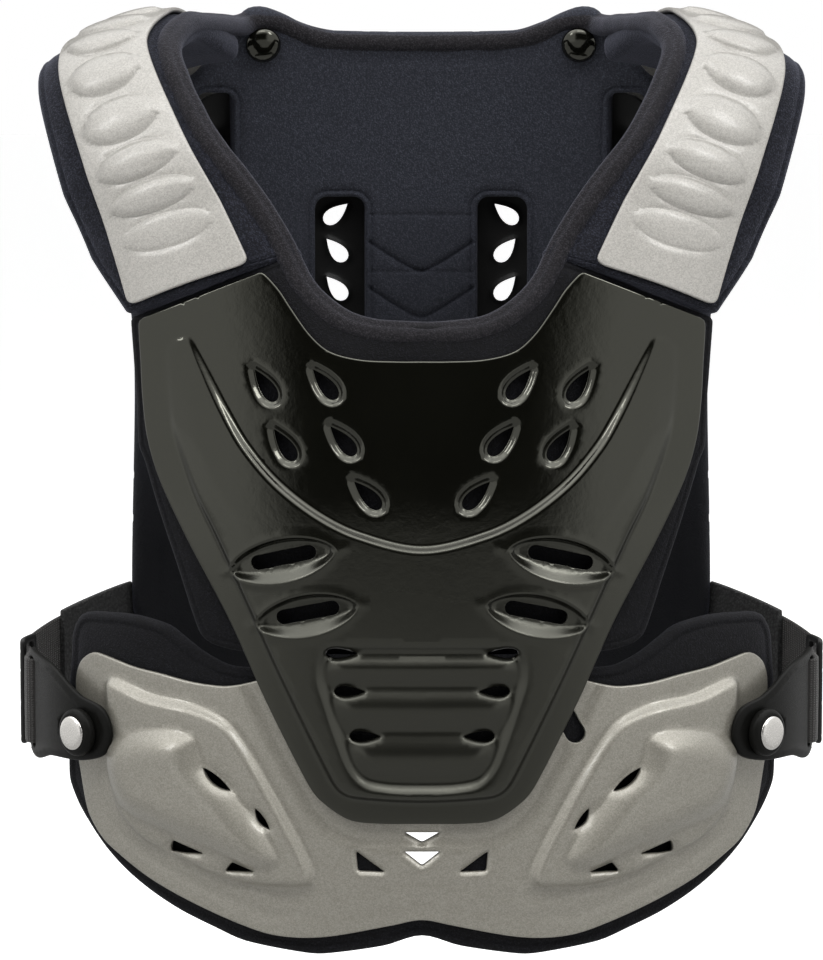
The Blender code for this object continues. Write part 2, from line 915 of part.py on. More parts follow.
def make_chest_liner(finish):
    outline = curve(both_sides(chest_rows(CHEST_LINER_OUTLINE)), COARSE)
    net = flat_net(outline, [], COARSE)
    form = offset_form(chest_form, -(CHEST_WALL + GAP))
    return shell("chest_liner", form, net, None, CHEST_FOAM, finish, FOAM_ROUND)


def wing_outline(way):
    ring = curve(belly_rows(WING_OUTLINE), FINE)
    return ring if way > 0 else mirrored(ring)


def dome_outline(way):
    ring = curve(belly_rows(DOME_OUTLINE), FINE)
    return ring if way > 0 else mirrored(ring)


def belly_relief(places):
    height = np.zeros(len(places))
    for way in (1, -1):
        height += WING_RAISE * step_up(places, wing_outline(way), WING_SLOPE)
        height += DOME_RAISE * step_up(places, dome_outline(way), DOME_SLOPE)
    return height


def belly_holes():
    holes = []

    def at(share):
        return np.array(place_of(share, BELLY_HALF, BELLY_TOP, BELLY_HEIGHT))

    for across, down, to_across, to_down in BELLY_SLITS:
        ring = slot(at((across, down)), at((to_across, to_down)), SLOT_HEIGHT / 2, 2)
        holes += [ring, mirrored(ring)]
    for corners in BELLY_VENTS:
        ring = np.array([at(corner) for corner in corners])
        holes += [ring, mirrored(ring)]
    for side, tip in CENTRE_VENTS:
        holes.append(np.array([at(side), at((-side[0], side[1])), at(tip)]))
    for across in ADJUST_HOLES:
        holes.append(oval(at((across, ADJUST_DOWN)), ADJUST_HOLE, ADJUST_HOLE, 0, 8))
    return holes


def make_belly_plate(finish):
    outline = curve(both_sides(belly_rows(BELLY_OUTLINE)), MIDDLE)
    lines = []
    for way in (1, -1):
        wing, dome = wing_outline(way), dome_outline(way)
        lines += [wing, inset(wing, WING_SLOPE), dome]
    net = flat_net(outline, belly_holes(), MIDDLE, lines)
    return shell("belly_plate", belly_form, net, belly_relief, BELLY_WALL, finish)


def make_belly_liner(finish):
    outline = curve(both_sides(belly_rows(BELLY_LINER_OUTLINE)), COARSE)
    net = flat_net(outline, [], COARSE)
    form = offset_form(belly_form, -(BELLY_WALL + PLATE_SEAT))
    return shell("belly_liner", form, net, None, BELLY_FOAM, finish, FOAM_ROUND)


def make_back_liner(finish):
    outline = curve(both_sides(back_rows(BACK_OUTLINE)), COARSE)
    holes = []
    for across, down, width, height in BACK_WINDOWS:
        size = (width * BACK_HALF, height * BACK_HEIGHT)
        centre = (across * BACK_HALF, BACK_TOP - down * BACK_HEIGHT - size[1] / 2)
        ring = rounded_box(centre, *size, WINDOW_CORNER * size[0])
        holes += [ring, mirrored(ring)]
    net = flat_net(outline, holes, COARSE)
    form = offset_form(back_form, -BACK_FOAM)
    return shell("back_liner", form, net, None, BACK_FOAM, finish, FOAM_ROUND, side=-1)


def make_back_plate(finish):
    outline = curve(both_sides(back_rows(BACK_PLATE_OUTLINE)), COARSE)
    holes = []
    for across, down, lean in BACK_VENTS:
        centre = place_of((across, down), BACK_HALF, BACK_TOP, BACK_HEIGHT)
        ring = teardrop(centre, BACK_VENT_LENGTH, BACK_VENT_WIDTH, radians(lean), 5)
        holes += [ring, mirrored(ring)]
    net = flat_net(outline, holes, COARSE)
    form = offset_form(back_form, -(BACK_FOAM + PLATE_SEAT + BACK_WALL))
    return shell("back_plate", form, net, None, BACK_WALL, finish, side=-1)


def band_length():
    spread = np.linspace(0, 1, 400)
    return np.linalg.norm(np.diff(band_centre(spread), axis=0), axis=1).sum()


def band_centre(at):
    x = SHOULDER_HALF * read(SHOULDER_TABLE, 0, at)
    y = SHOULDER_REACH * read(SHOULDER_TABLE, 1, at)
    z = SHOULDER_RISE * read(SHOULDER_TABLE, 2, at)
    return np.stack([x, y, z], axis=1)


def band_form(places):
    """Top of the shoulder pad, in metres across the band and along it."""
    across, at = places[:, 0], places[:, 1] / band_length()
    centre = band_centre(at)
    tiny = 0.002
    along = band_centre(np.clip(at + tiny, 0, 1)) - band_centre(np.clip(at - tiny, 0, 1))
    along /= np.linalg.norm(along, axis=1)[:, None]
    yaw = np.radians(read(SHOULDER_TABLE, 3, at))
    roll = np.radians(read(SHOULDER_TABLE, 4, at))
    out = np.stack([np.cos(yaw) * np.cos(roll), np.sin(yaw), -np.sin(roll)], axis=1)
    out -= (out * along).sum(axis=1)[:, None] * along
    out /= np.linalg.norm(out, axis=1)[:, None]
    up = np.cross(out, along)
    drop = CAMBER * (across / (BAND_WIDTH / 2)) ** 2
    return centre + out * across[:, None] - up * drop[:, None]


def band_outline(first, last, cut, inner, outer, count):
    """Outline of a strip along the band, in metres across and along.

    The inner edge ends short of the outer one by the cut.
    """
    edges = []
    for column, end in ((inner, last - cut), (outer, last)):
        at = np.linspace(first, end, count)
        edges.append(np.stack([read(SHOULDER_TABLE, column, at) * BAND_WIDTH, at * band_length()], 1))
    inner_line, outer_line = edges
    first_middle = (inner_line[0] + outer_line[0]) / 2
    last_middles = [inner_line[-1] * k + outer_line[-1] * (1 - k) for k in (1 / 3, 2 / 3)]
    return np.concatenate([[first_middle], outer_line, last_middles, inner_line[::-1]])


def bump_centres():
    first = FIRST_BUMP * band_length()
    count = int((PLATE_TO * band_length() - BUMP_LENGTH / 2 - first) / BUMP_PITCH)
    return [first + k * BUMP_PITCH for k in range(count + 1)]


def bump_row(along):
    """Middle and half width of the bumps at a place along the band."""
    at = along / band_length()
    inner = read(SHOULDER_TABLE, 5, at) * BAND_WIDTH
    outer = read(SHOULDER_TABLE, 6, at) * BAND_WIDTH
    return (inner + outer) / 2, (outer - inner) * BUMP_SHARE / 2


def shoulder_relief(places):
    height = np.zeros(len(places))
    middle, half = bump_row(places[:, 1])
    for centre in bump_centres():
        reach = ((places[:, 1] - centre) / (BUMP_LENGTH / 2)) ** 2
        reach += ((places[:, 0] - middle) / half) ** 2
        height += BUMP_RAISE * np.sqrt(np.clip(1 - reach, 0, 1))
    return height


def make_shoulders(plate_finish, pad_finish):
    lines = []
    for centre in bump_centres():
        middle, half = bump_row(centre)
        lines.append(oval((middle, centre), 2 * half, BUMP_LENGTH, 0, 8))
        lines.append([(middle + share * half, centre) for share in (-0.5, 0, 0.5)])
    plate_net = flat_net(band_outline(PLATE_FROM, PLATE_TO, 0, 5, 6, 19), [], MIDDLE, lines)
    pad_net = flat_net(band_outline(PAD_FROM, PAD_TO, PAD_CUT, 7, 8, 15), [], COARSE)
    raised = offset_form(band_form, PLATE_SEAT + SHOULDER_WALL)
    for name, side in (("right", 1), ("left", 2)):
        plate_name, pad_name = "shoulder_plate_" + name, "shoulder_pad_" + name
        shell(plate_name, raised, plate_net, shoulder_relief, SHOULDER_WALL, plate_finish, side=side)
        shell(pad_name, band_form, pad_net, None, SHOULDER_FOAM, pad_finish, FOAM_ROUND, side=side)


def side_form(places):
    """The belly form carried on round the side, in metres along it from the stud, and up."""
    half, depth = BELLY_FORM_HALF, CHEST_DEPTH - CHEST_WALL - GAP
    turn = np.linspace(0, pi, 721)
    line = np.stack([half * np.sin(turn), -depth * np.cos(turn)], axis=1)
    run = np.concatenate([[0], np.cumsum(np.linalg.norm(np.diff(line, axis=0), axis=1))])
    stud = np.interp(np.arcsin(STUD_SHARE * BELLY_HALF / half), turn, run)
    angle = np.interp(stud + places[:, 0], run, turn)
    x, y = half * np.sin(angle), -depth * np.cos(angle)
    return np.stack([x, y, STUD_HEIGHT + places[:, 1]], axis=1)


def stud_axis():
    """Foot of the stud on the belly plate and its outward direction."""
    here = np.zeros((1, 2))
    foot = side_form(here)[0]
    tip = laid(side_form, here, 1.0)[0]
    return foot, tip - foot


def lathe(name, foot, axis, profile, finish, side, sides=14):
    """Turned solid on an axis. The profile holds radius and height, foot to tip."""
    up = np.array([0, 0, 1.0])
    aside = np.cross(up, axis)
    aside /= np.linalg.norm(aside)
    up = np.cross(axis, aside)
    points, faces = [], []
    for radius, height in profile:
        for k in range(sides):
            turn = 2 * pi * k / sides
            ring = aside * cos(turn) + up * sin(turn)
            points.append(foot + axis * height + ring * radius)
    for j in range(len(profile) - 1):
        for k in range(sides):
            a, b = j * sides + k, j * sides + (k + 1) % sides
            faces.append((a, b, b + sides, a + sides))
    faces.append(tuple(range(sides))[::-1])
    last = (len(profile) - 1) * sides
    faces.append(tuple(range(last, last + sides)))
    points = np.array(points)
    if side == 2:
        points[:, 0] *= -1
        faces = [f[::-1] for f in faces]
    return add_mesh(name, points, faces, finish)


def tab_lift(along):
    """Height of the tab's inner face: over the wing at the stud, close to the side at its end."""
    return TAB_LIFT + WING_RAISE * (1 - smooth(along / (TAB_FALL * TAB_LENGTH)))


def make_studs(black, metal):
    foot, axis = stud_axis()
    seat = tab_lift(0) - STUD_PLAY
    head = tab_lift(0) + TAB_WALL + STUD_PLAY
    top = head + KNOB_HEIGHT
    profile = [(POST / 2 + COLLAR, GAP), (POST / 2 + COLLAR, seat), (POST / 2, seat), (POST / 2, head)]
    profile += [(r * KNOB / 2, head + h * KNOB_HEIGHT) for r, h in KNOB_PROFILE]
    cap = [(r * CAP / 2, top + GAP + h * CAP_RISE) for r, h in CAP_PROFILE]
    for name, side in (("right", 1), ("left", 2)):
        lathe("stud_" + name, foot, axis, profile, black, side)
        lathe("stud_cap_" + name, foot, axis, cap, metal, side)


def make_snaps(finish):
    here = np.array([place_of(SNAP_AT, BACK_HALF, BACK_TOP, BACK_HEIGHT)])
    foot = back_form(here)[0]
    axis = laid(back_form, here, 1.0)[0] - foot
    profile = [(r * SNAP / 2, SNAP_SEAT + h * SNAP_RISE) for r, h in SNAP_PROFILE]
    for name, side in (("right", 1), ("left", 2)):
        lathe("snap_" + name, foot, axis, profile, finish, side)


def make_tabs(finish):
    rows = [(a * TAB_LENGTH, b * TAB_HEIGHT, c) for a, b, c in TAB_OUTLINE]
    outline = curve(rows, COARSE)
    middle = WEB_MIDDLE * TAB_HEIGHT
    at = TAB_SLOT_AT * TAB_LENGTH
    web_slot = rounded_box((at, middle), TAB_SLOT_WIDTH, WEB_WIDTH + SLOT_PLAY, SLOT_CORNER)
    keyhole = slot((0, 0), (KEYHOLE_LENGTH - POST, 0), POST + KEYHOLE_PLAY, 6)
    net = flat_net(outline, [web_slot, keyhole], MIDDLE)

    def form(places):
        return laid(side_form, places, tab_lift(places[:, 0]) + TAB_WALL)

    for name, side in (("right", 1), ("left", 2)):
        shell("strap_hook_" + name, form, net, None, TAB_WALL, finish, side=side)


def web_line(count=36):
    """Middle line of the webbing, its outward direction and the height of its middle."""
    at = np.linspace(0, 1, count)
    along = read(WEB_ROUTE, 0, at) * TAB_LENGTH
    out = read(WEB_ROUTE, 1, at) + TAB_LIFT
    rise = (read(WEB_ROUTE, 2, at) + WEB_MIDDLE) * TAB_HEIGHT
    return laid(side_form, np.stack([along, rise], axis=1), out)


def outward(line):
    """Level direction away from the body, square to a line that runs back along the right side."""
    ahead = np.gradient(line, axis=0)
    ahead[:, 2] = 0
    ahead /= np.linalg.norm(ahead, axis=1)[:, None]
    return np.stack([ahead[:, 1], -ahead[:, 0], np.zeros(len(line))], axis=1)


def band_solid(name, line, width, wall, finish, side):
    """Flat band on edge along a line."""
    out = outward(line)
    up = np.array([0, 0, width / 2])
    corners = [
        line + out * wall / 2 + up,
        line + out * wall / 2 - up,
        line - out * wall / 2 - up,
        line - out * wall / 2 + up,
    ]
    points = np.stack(corners, axis=1).reshape(-1, 3)
    faces = []
    for i in range(len(line) - 1):
        for k in range(4):
            a, b = 4 * i + k, 4 * i + (k + 1) % 4
            faces.append((a, b, b + 4, a + 4))
    faces.append((3, 2, 1, 0))
    last = 4 * (len(line) - 1)
    faces.append((last, last + 1, last + 2, last + 3))
    if side == 2:
        points[:, 0] *= -1
        faces = [f[::-1] for f in faces]
    return add_mesh(name, points, faces, finish)


def make_straps(web_finish, black, leather):
    line = web_line()
    first, last = int(STRAP_PAD_FROM * len(line)), int(STRAP_PAD_TO * len(line))
    depth = (WEB_WALL + STRAP_PAD_WALL) / 2 + GAP
    pad_line = (line - outward(line) * depth)[first:last]
    centre = (SLIDER_AT * TAB_LENGTH, WEB_MIDDLE * TAB_HEIGHT)
    opening = (SLIDER_LENGTH - 2 * SLIDER_BAR, WEB_WIDTH + 2 * SLIDER_PLAY)
    slider_net = flat_net(
        rounded_box(centre, SLIDER_LENGTH, SLIDER_HEIGHT, SLIDER_CORNER),
        [rounded_box(centre, *opening, SLIDER_CORNER / 3)],
        COARSE,
    )
    form = offset_form(side_form, TAB_LIFT + SLIDER_LIFT + SLIDER_WALL)
    for name, side in (("right", 1), ("left", 2)):
        band_solid("webbing_" + name, line, WEB_WIDTH, WEB_WALL, web_finish, side)
        band_solid("strap_pad_" + name, pad_line, STRAP_PAD_HEIGHT, STRAP_PAD_WALL, leather, side)
        shell("slider_" + name, form, slider_net, None, SLIDER_WALL, black, side=side)


def clear_scene():
    for item in list(bpy.data.objects):
        bpy.data.objects.remove(item, do_unlink=True)


def main():
    clear_scene()
    black = material("gloss_black", (0.012, 0.012, 0.010), 0.12)
    silver = material("metallic_grey", (0.42, 0.40, 0.36), 0.3, 0.4)
    foam = material("dark_fabric", (0.018, 0.019, 0.026), 0.9)
    matt = material("matt_black", (0.015, 0.015, 0.016), 0.5)
    metal = material("bright_metal", (0.75, 0.74, 0.72), 0.2, 1.0)
    webbing = material("webbing", (0.02, 0.018, 0.016), 0.85)
    leather = material("stitched_end", (0.02, 0.02, 0.02), 0.6)
    make_chest_plate(black)
    make_chest_liner(foam)
    make_belly_plate(silver)
    make_belly_liner(foam)
    make_back_liner(foam)
    make_back_plate(matt)
    make_shoulders(silver, foam)
    make_studs(matt, metal)
    make_snaps(black)
    make_tabs(matt)
    make_straps(webbing, matt, leather)


main()
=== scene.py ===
from math import ceil, cos, pi, radians, sin

import bpy
import numpy as np
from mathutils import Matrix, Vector
from mathutils.geometry import delaunay_2d_cdt
from mathutils.kdtree import KDTree


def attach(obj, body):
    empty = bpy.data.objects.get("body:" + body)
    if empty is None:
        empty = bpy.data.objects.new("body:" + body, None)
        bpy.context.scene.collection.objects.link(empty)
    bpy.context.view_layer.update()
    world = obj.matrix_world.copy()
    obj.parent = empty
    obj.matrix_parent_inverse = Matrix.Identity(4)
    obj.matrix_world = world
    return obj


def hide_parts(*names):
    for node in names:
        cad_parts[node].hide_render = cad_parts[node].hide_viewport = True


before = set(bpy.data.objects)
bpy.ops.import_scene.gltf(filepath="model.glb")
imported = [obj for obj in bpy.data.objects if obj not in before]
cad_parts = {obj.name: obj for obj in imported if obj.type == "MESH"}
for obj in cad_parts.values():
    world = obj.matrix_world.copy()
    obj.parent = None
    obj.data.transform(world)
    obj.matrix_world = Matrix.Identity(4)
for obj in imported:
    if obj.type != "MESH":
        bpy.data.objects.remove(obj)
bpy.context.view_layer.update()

print("frame loaded")

# Metres throughout: X to the right as seen from the front, -Y out of the chest, Z up.
bodyForm = {
    "chestHalf": 0.212,
    "chestDepth": 0.134,
    "bellyHalf": 0.198,
    "backHalf": 0.225,
    "backDepth": 0.120,
    # depth down the middle: share of the height, share of the depth
    "chestProfile": [(-0.20, 0.76), (0.00, 0.835), (0.08, 0.883), (0.24, 0.940),
                     (0.42, 0.977), (0.70, 1.0), (1.30, 1.0)],
    "backProfile": [(-0.10, 0.74), (0.00, 0.855), (0.08, 0.930), (0.20, 0.985),
                    (0.40, 1.0), (0.70, 0.970), (1.10, 0.930)],
    "seat": 0.0010,  # air between a plate and its foam
    "chestSeat": 0.0006,
    "bellySeat": 0.0004,
}
chest = {
    "half": 0.141,
    "top": -0.106,
    "height": 0.270,
    "wall": 0.0026,
    "edge": 0.0011,
    "step": 0.0023,
    "panelRaise": 0.0042,
    "panelRaiseTop": 0.0006,
    "panelSlope": 0.0046,
    "bibSlope": 0.0036,
    "recessDepth": 0.0038,
    "recessSlope": 0.0062,
    "ribRaise": 0.0034,
    "ventSize": (0.0182, 0.0074),
    "ventDish": (0.0026, 0.0042),  # depth, width
    "smallVent": (0.0150, 0.0052),
    "smallDish": (0.0014, 0.0020, 1.7),  # depth, width, power
    "louvre": (0.054, 0.0225),
    "louvreDish": 0.0042,
    "louvreLip": 0.0007,
    "louvreDrop": 0.0014,
    "slot": (0.0330, 0.0072),
    # half outlines: across, down, 1 where it is a corner
    "outline": [
        (0.000, 0.158, 0), (0.090, 0.158, 0), (0.216, 0.155, 0), (0.321, 0.141, 0), (0.390, 0.111, 0),
        (0.460, 0.061, 0), (0.496, 0.033, 0), (0.548, 0.004, 0), (0.570, 0.001, 0), (0.985, 0.087, 0),
        (1.000, 0.099, 0), (0.993, 0.165, 0), (0.985, 0.238, 0), (0.967, 0.310, 0), (0.924, 0.382, 0),
        (0.824, 0.490, 0), (0.675, 0.633, 0), (0.549, 0.777, 0), (0.409, 0.921, 0), (0.361, 0.957, 0),
        (0.260, 0.993, 0), (0.155, 1.000, 0), (0.000, 1.000, 0),
    ],
    "panel": [
        (0.000, 0.491, 0), (0.216, 0.466, 0), (0.355, 0.431, 0), (0.494, 0.376, 0), (0.599, 0.313, 0),
        (0.670, 0.252, 0), (0.741, 0.181, 0), (0.809, 0.111, 1), (0.867, 0.119, 0), (0.899, 0.136, 0),
        (0.906, 0.163, 0), (0.899, 0.236, 0), (0.880, 0.297, 0), (0.801, 0.407, 0), (0.724, 0.487, 0),
        (0.629, 0.593, 0), (0.499, 0.741, 0), (0.329, 0.922, 0), (0.287, 0.949, 0), (0.230, 0.959, 0),
        (0.000, 0.965, 0),
    ],
    "recess": [
        (0.000, 0.665, 0), (0.311, 0.669, 0), (0.362, 0.693, 0), (0.370, 0.737, 0), (0.349, 0.779, 0),
        (0.294, 0.864, 0), (0.259, 0.906, 0), (0.207, 0.934, 0), (0.123, 0.945, 0), (0.000, 0.947, 0),
    ],
    "grooves": (0.672, 0.746, 0.828, 0.925),
    # across, down, lean from upright in degrees
    "vents": [(0.550, 0.204, 35), (0.340, 0.200, 40), (0.482, 0.311, 35),
              (0.277, 0.302, 42), (0.191, 0.400, 45)],
    "smallVents": [(0.280, 0.687), (0.252, 0.757), (0.199, 0.839)],
    # across, down, fall of the outer end in degrees, size
    "louvres": [(0.482, 0.515, 13, 1.0), (0.397, 0.614, 12, 0.96)],
}


# rows of a triangle lattice, and how far its points keep from fixed ones, as shares of its step
latticeRise, latticeClear = 0.866, 0.55
bothSides = (("Right", False), ("Left", True))


def easeStep(share):
    share = np.clip(share, 0, 1)
    return share * share * (3 - 2 * share)


def tableValue(table, column, at):
    # smooth curve through one column of a table, at a share of its length
    rows = np.array(table, float)
    count = len(rows)
    place = np.clip(at, 0, 1) * (count - 1)
    first = np.minimum(place.astype(int), count - 2)
    t = place - first
    before = rows[np.maximum(first - 1, 0), column]
    here = rows[first, column]
    there = rows[first + 1, column]
    after = rows[np.minimum(first + 2, count - 1), column]
    return 0.5 * (2 * here + (there - before) * t + (2 * before - 5 * here + 4 * there - after) * t * t
                  + (3 * here - before - 3 * there + after) * t**3)


def closedLine(rows, step):
    # smooth closed line through the rows, straight into each corner
    rows = list(rows)
    count = len(rows)
    line = []
    for i in range(count):
        before, here, there, after = (rows[(i + k) % count] for k in (-1, 0, 1, 2))
        start, end = np.array(here[:2], float), np.array(there[:2], float)
        leave = (end - start) if here[2] else (end - np.array(before[:2])) / 2
        arrive = (end - start) if there[2] else (np.array(after[:2]) - start) / 2
        length = np.linalg.norm(end - start)
        for vector in (leave, arrive):
            size = np.linalg.norm(vector)
            if size > length:
                vector *= length / size
        pieces = max(1, ceil(length / step))
        for k in range(pieces):
            t = k / pieces
            line.append((2 * t**3 - 3 * t**2 + 1) * start + (t**3 - 2 * t**2 + t) * leave
                        + (3 * t**2 - 2 * t**3) * end + (t**3 - t**2) * arrive)
    return np.array(line)


def rowsOf(piece, rows):
    return [(row[0] * piece["half"], piece["top"] - row[1] * piece["height"], row[2]) for row in rows]


def placeOf(piece, across, down):
    return np.array([across * piece["half"], piece["top"] - down * piece["height"]])


def bothHalves(rows):
    return list(rows) + [(-x, z, corner) for x, z, corner in rows[::-1] if x > 0]


def ringOf(piece, key):
    return closedLine(bothHalves(rowsOf(piece, piece[key])), piece["step"])


def turned(points, angle, centre=(0, 0)):
    c, s = cos(angle), sin(angle)
    points = np.asarray(points, float)
    return np.stack([centre[0] + points[:, 0] * c - points[:, 1] * s,
                     centre[1] + points[:, 0] * s + points[:, 1] * c], axis=1)


def mirrored(ring):
    return (np.array(ring) * [-1, 1])[::-1]


def unit(vectors):
    return vectors / np.linalg.norm(vectors, axis=1)[:, None]


def squared(vectors, ahead):
    # unit vectors square to the given directions
    return unit(vectors - (vectors * ahead).sum(axis=1)[:, None] * ahead)


def runAlong(line):
    # distance from the start of a line to each of its points
    return np.concatenate([[0], np.cumsum(np.linalg.norm(np.diff(line, axis=0), axis=1))])


def teardrop(centre, length, width, angle, sides=32, tip=1.1):
    # round below and drawn to a soft tip above at angle 0
    turn = np.linspace(0, 2 * pi, sides, endpoint=False)
    across = np.sin(turn) * np.abs(np.sin(turn / 2)) ** tip
    ring = np.stack([-across / across.max() * width / 2, np.cos(turn) * length / 2], axis=1)
    return turned(ring, angle, centre)


def slot(start, end, width, sides=8):
    start, end = np.array(start), np.array(end)
    length = np.linalg.norm(end - start)
    along = (end - start) / length
    aside = np.array([-along[1], along[0]])
    points = []
    for centre, way in ((end, 1), (start, -1)):
        for k in range(sides + 1):
            turn = pi / 2 - pi * k / sides
            points.append(centre + way * (along * cos(turn) + aside * sin(turn)) * width / 2)
        for share in np.linspace(0, 1, max(2, int(length / 0.003)))[1:-1]:
            points.append(centre - way * (along * length * share + aside * width / 2))
    return np.array(points)


def roundedBox(centre, width, height, radius, step=0.0025):
    points = []
    for sx, sz, first in ((1, 1, 0), (-1, 1, 90), (-1, -1, 180), (1, -1, 270)):
        for k in range(6):
            turn = radians(first + 90 * k / 5)
            points.append((centre[0] + sx * (width / 2 - radius) + radius * cos(turn),
                           centre[1] + sz * (height / 2 - radius) + radius * sin(turn)))
    return splitEdges(np.array(points), step)


def splitEdges(ring, step):
    # the same line with its long edges in short pieces
    points = []
    for start, end in zip(ring, np.roll(ring, -1, axis=0)):
        pieces = max(1, ceil(np.linalg.norm(end - start) / step))
        points += [start + (end - start) * k / pieces for k in range(pieces)]
    return np.array(points)


def isInside(points, ring):
    x, y = points[:, 0], points[:, 1]
    found = np.zeros(len(points), bool)
    for (x0, y0), (x1, y1) in zip(ring, np.roll(ring, -1, axis=0)):
        if y0 != y1:
            found ^= ((y0 > y) != (y1 > y)) & (x < (x1 - x0) * (y - y0) / (y1 - y0) + x0)
    return found


def distanceTo(points, ring, closed=True):
    best = np.full(len(points), np.inf)
    ends = np.roll(ring, -1, axis=0)
    count = len(ring) if closed else len(ring) - 1
    for start, end in zip(ring[:count], ends[:count]):
        along = end - start
        share = np.clip((points - start) @ along / max(along @ along, 1e-14), 0, 1)
        best = np.minimum(best, np.linalg.norm(points - start - share[:, None] * along, axis=1))
    return best


def besideRing(ring, distance):
    # points at a distance from a closed line: inside it for a positive distance, outside for a negative one
    area = (ring[:, 0] * np.roll(ring[:, 1], -1) - ring[:, 1] * np.roll(ring[:, 0], -1)).sum()
    ahead = np.roll(ring, -1, axis=0) - np.roll(ring, 1, axis=0)
    normal = np.stack([-ahead[:, 1], ahead[:, 0]], axis=1) * np.sign(area)
    normal /= np.linalg.norm(normal, axis=1)[:, None] + 1e-12
    trial = ring + normal * distance
    return trial[distanceTo(trial, ring) > 0.93 * abs(distance)]


def ringsBeside(rings, reaches):
    # lines at several distances from each ring; 0 is the ring itself
    return [ring if reach == 0 else besideRing(ring, reach) for ring in rings for reach in reaches]


def rimDish(places, rings, depth, width, power):
    # how far a surface falls towards the rims of holes
    fall = np.zeros(len(places))
    for ring in rings:
        fall += depth * (1 - np.clip(distanceTo(places, ring) / width, 0, 1)) ** power
    return fall


def fillNet(outline, holes, step, lines=()):
    # triangles that fill the outline, with the given extra points in them
    rings = [outline, *holes]
    edges, start = [], 0
    for ring in rings:
        edges += [(start + i, start + (i + 1) % len(ring)) for i in range(len(ring))]
        start += len(ring)
    points = [np.concatenate(rings)]

    def within(trial):
        good = isInside(trial, outline)
        for hole in holes:
            good &= ~isInside(trial, hole)
        return trial[good]

    for line in lines:
        if len(line):
            points.append(within(np.asarray(line, float)))
    fixed = np.concatenate(points)
    tree = KDTree(len(fixed))
    for i, (x, z) in enumerate(fixed):
        tree.insert((x, z, 0), i)
    tree.balance()
    rise = step * latticeRise
    low, high = outline.min(axis=0), outline.max(axis=0)
    lattice = np.array([(i * step + (step / 2 if j % 2 else 0), j * rise)
                        for j in range(int(low[1] // rise), ceil(high[1] / rise) + 1)
                        for i in range(int(low[0] // step) - 1, ceil(high[0] / step) + 1)])
    lattice = within(lattice)
    lattice = np.array([p for p in lattice if tree.find((p[0], p[1], 0))[2] > latticeClear * step])
    places = np.concatenate([fixed, lattice])
    found = delaunay_2d_cdt([Vector(p) for p in places], edges, [], 0, 1e-7)
    places = np.array([tuple(v) for v in found[0]])
    faces = np.array([f for f in found[2] if len(f) == 3])
    middles = places[faces].mean(axis=1)
    good = isInside(middles, outline)
    for hole in holes:
        good &= ~isInside(middles, hole)
    faces = faces[good]
    used = np.unique(faces)
    index = np.full(len(places), -1)
    index[used] = np.arange(len(used))
    places, faces = places[used], index[faces]
    a, b, c = (places[faces[:, k]] for k in range(3))
    turn = (b - a)[:, 0] * (c - a)[:, 1] - (b - a)[:, 1] * (c - a)[:, 0]
    faces[turn < 0] = faces[turn < 0][:, ::-1]
    rim = np.full(len(places), np.inf)
    for ring in rings:
        rim = np.minimum(rim, distanceTo(places, ring))
    return {"places": places, "faces": faces, "rim": rim}


def lay(form, places, lift):
    # points of a form, raised along its outward direction
    tiny = 0.0004
    along = form(places + [tiny, 0]) - form(places - [tiny, 0])
    aside = form(places + [0, tiny]) - form(places - [0, tiny])
    out = unit(np.cross(along, aside))
    return form(places) + out * np.asarray(lift).reshape(-1, 1)


def raisedForm(form, lift):
    return lambda places: lay(form, places, lift)


def roundOff(distance, radius):
    # how far a rounded edge falls at a distance from its rim
    reach = np.clip(radius - distance, 0, radius)
    return radius - np.sqrt(np.maximum(radius**2 - reach**2, 0))


def edgeRings(rings, radius):
    # extra points that carry a rounded edge: the first ring is the outline, the rest are holes
    shares = (0.1, 0.35, 0.7, 1.05)
    return [besideRing(ring, (radius if i == 0 else -radius) * share)
            for i, ring in enumerate(rings) for share in shares]


def addMesh(name, points, faces, look, uv=None):
    mesh = bpy.data.meshes.new(name)
    mesh.from_pydata([tuple(p) for p in points], [], [tuple(int(i) for i in f) for f in faces])
    mesh.validate()
    mesh.materials.append(look)
    mesh.shade_smooth()
    if uv is not None:
        layer = mesh.uv_layers.new(name="along")
        spots = np.empty(len(mesh.loops), int)
        mesh.loops.foreach_get("vertex_index", spots)
        layer.data.foreach_set("uv", uv[spots].astype(np.float32).ravel())
    made = bpy.data.objects.new(name, mesh)
    bpy.context.scene.collection.objects.link(made)
    return made


def tubeFaces(rows, around, closed=False):
    # faces of a tube of point rings, joined into a loop or with flat ends
    faces = [(i * around + k, i * around + (k + 1) % around,
              (i + 1) % rows * around + (k + 1) % around, (i + 1) % rows * around + k)
             for i in range(rows if closed else rows - 1) for k in range(around)]
    if not closed:
        last = (rows - 1) * around
        faces += [tuple(range(around))[::-1], tuple(range(last, last + around))]
    return faces


def buildShell(name, form, net, front, back, look, side=1, left=False):
    # closed wall between two heights over a net. side -1: the form's own direction points inwards
    places, faces = net["places"], net["faces"]
    count = len(places)
    points = np.concatenate([lay(form, places, side * front), lay(form, places, side * back)])
    edges = np.concatenate([faces[:, [0, 1]], faces[:, [1, 2]], faces[:, [2, 0]]])
    pairs = {tuple(edge) for edge in edges}
    walls = [(b, a, a + count, b + count) for a, b in pairs if (b, a) not in pairs]
    solid = [tuple(f) for f in faces] + [tuple(f[::-1] + count) for f in faces] + walls
    if left:
        points[:, 0] *= -1
    if left != (side < 0):
        solid = [f[::-1] for f in solid]
    return addMesh(name, points, solid, look, np.concatenate([places, places]))


def settle(piece, slotName, *nodes, fill=None):
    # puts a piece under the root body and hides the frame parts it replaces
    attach(piece, "root")
    if nodes:
        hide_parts(*nodes)
    return piece


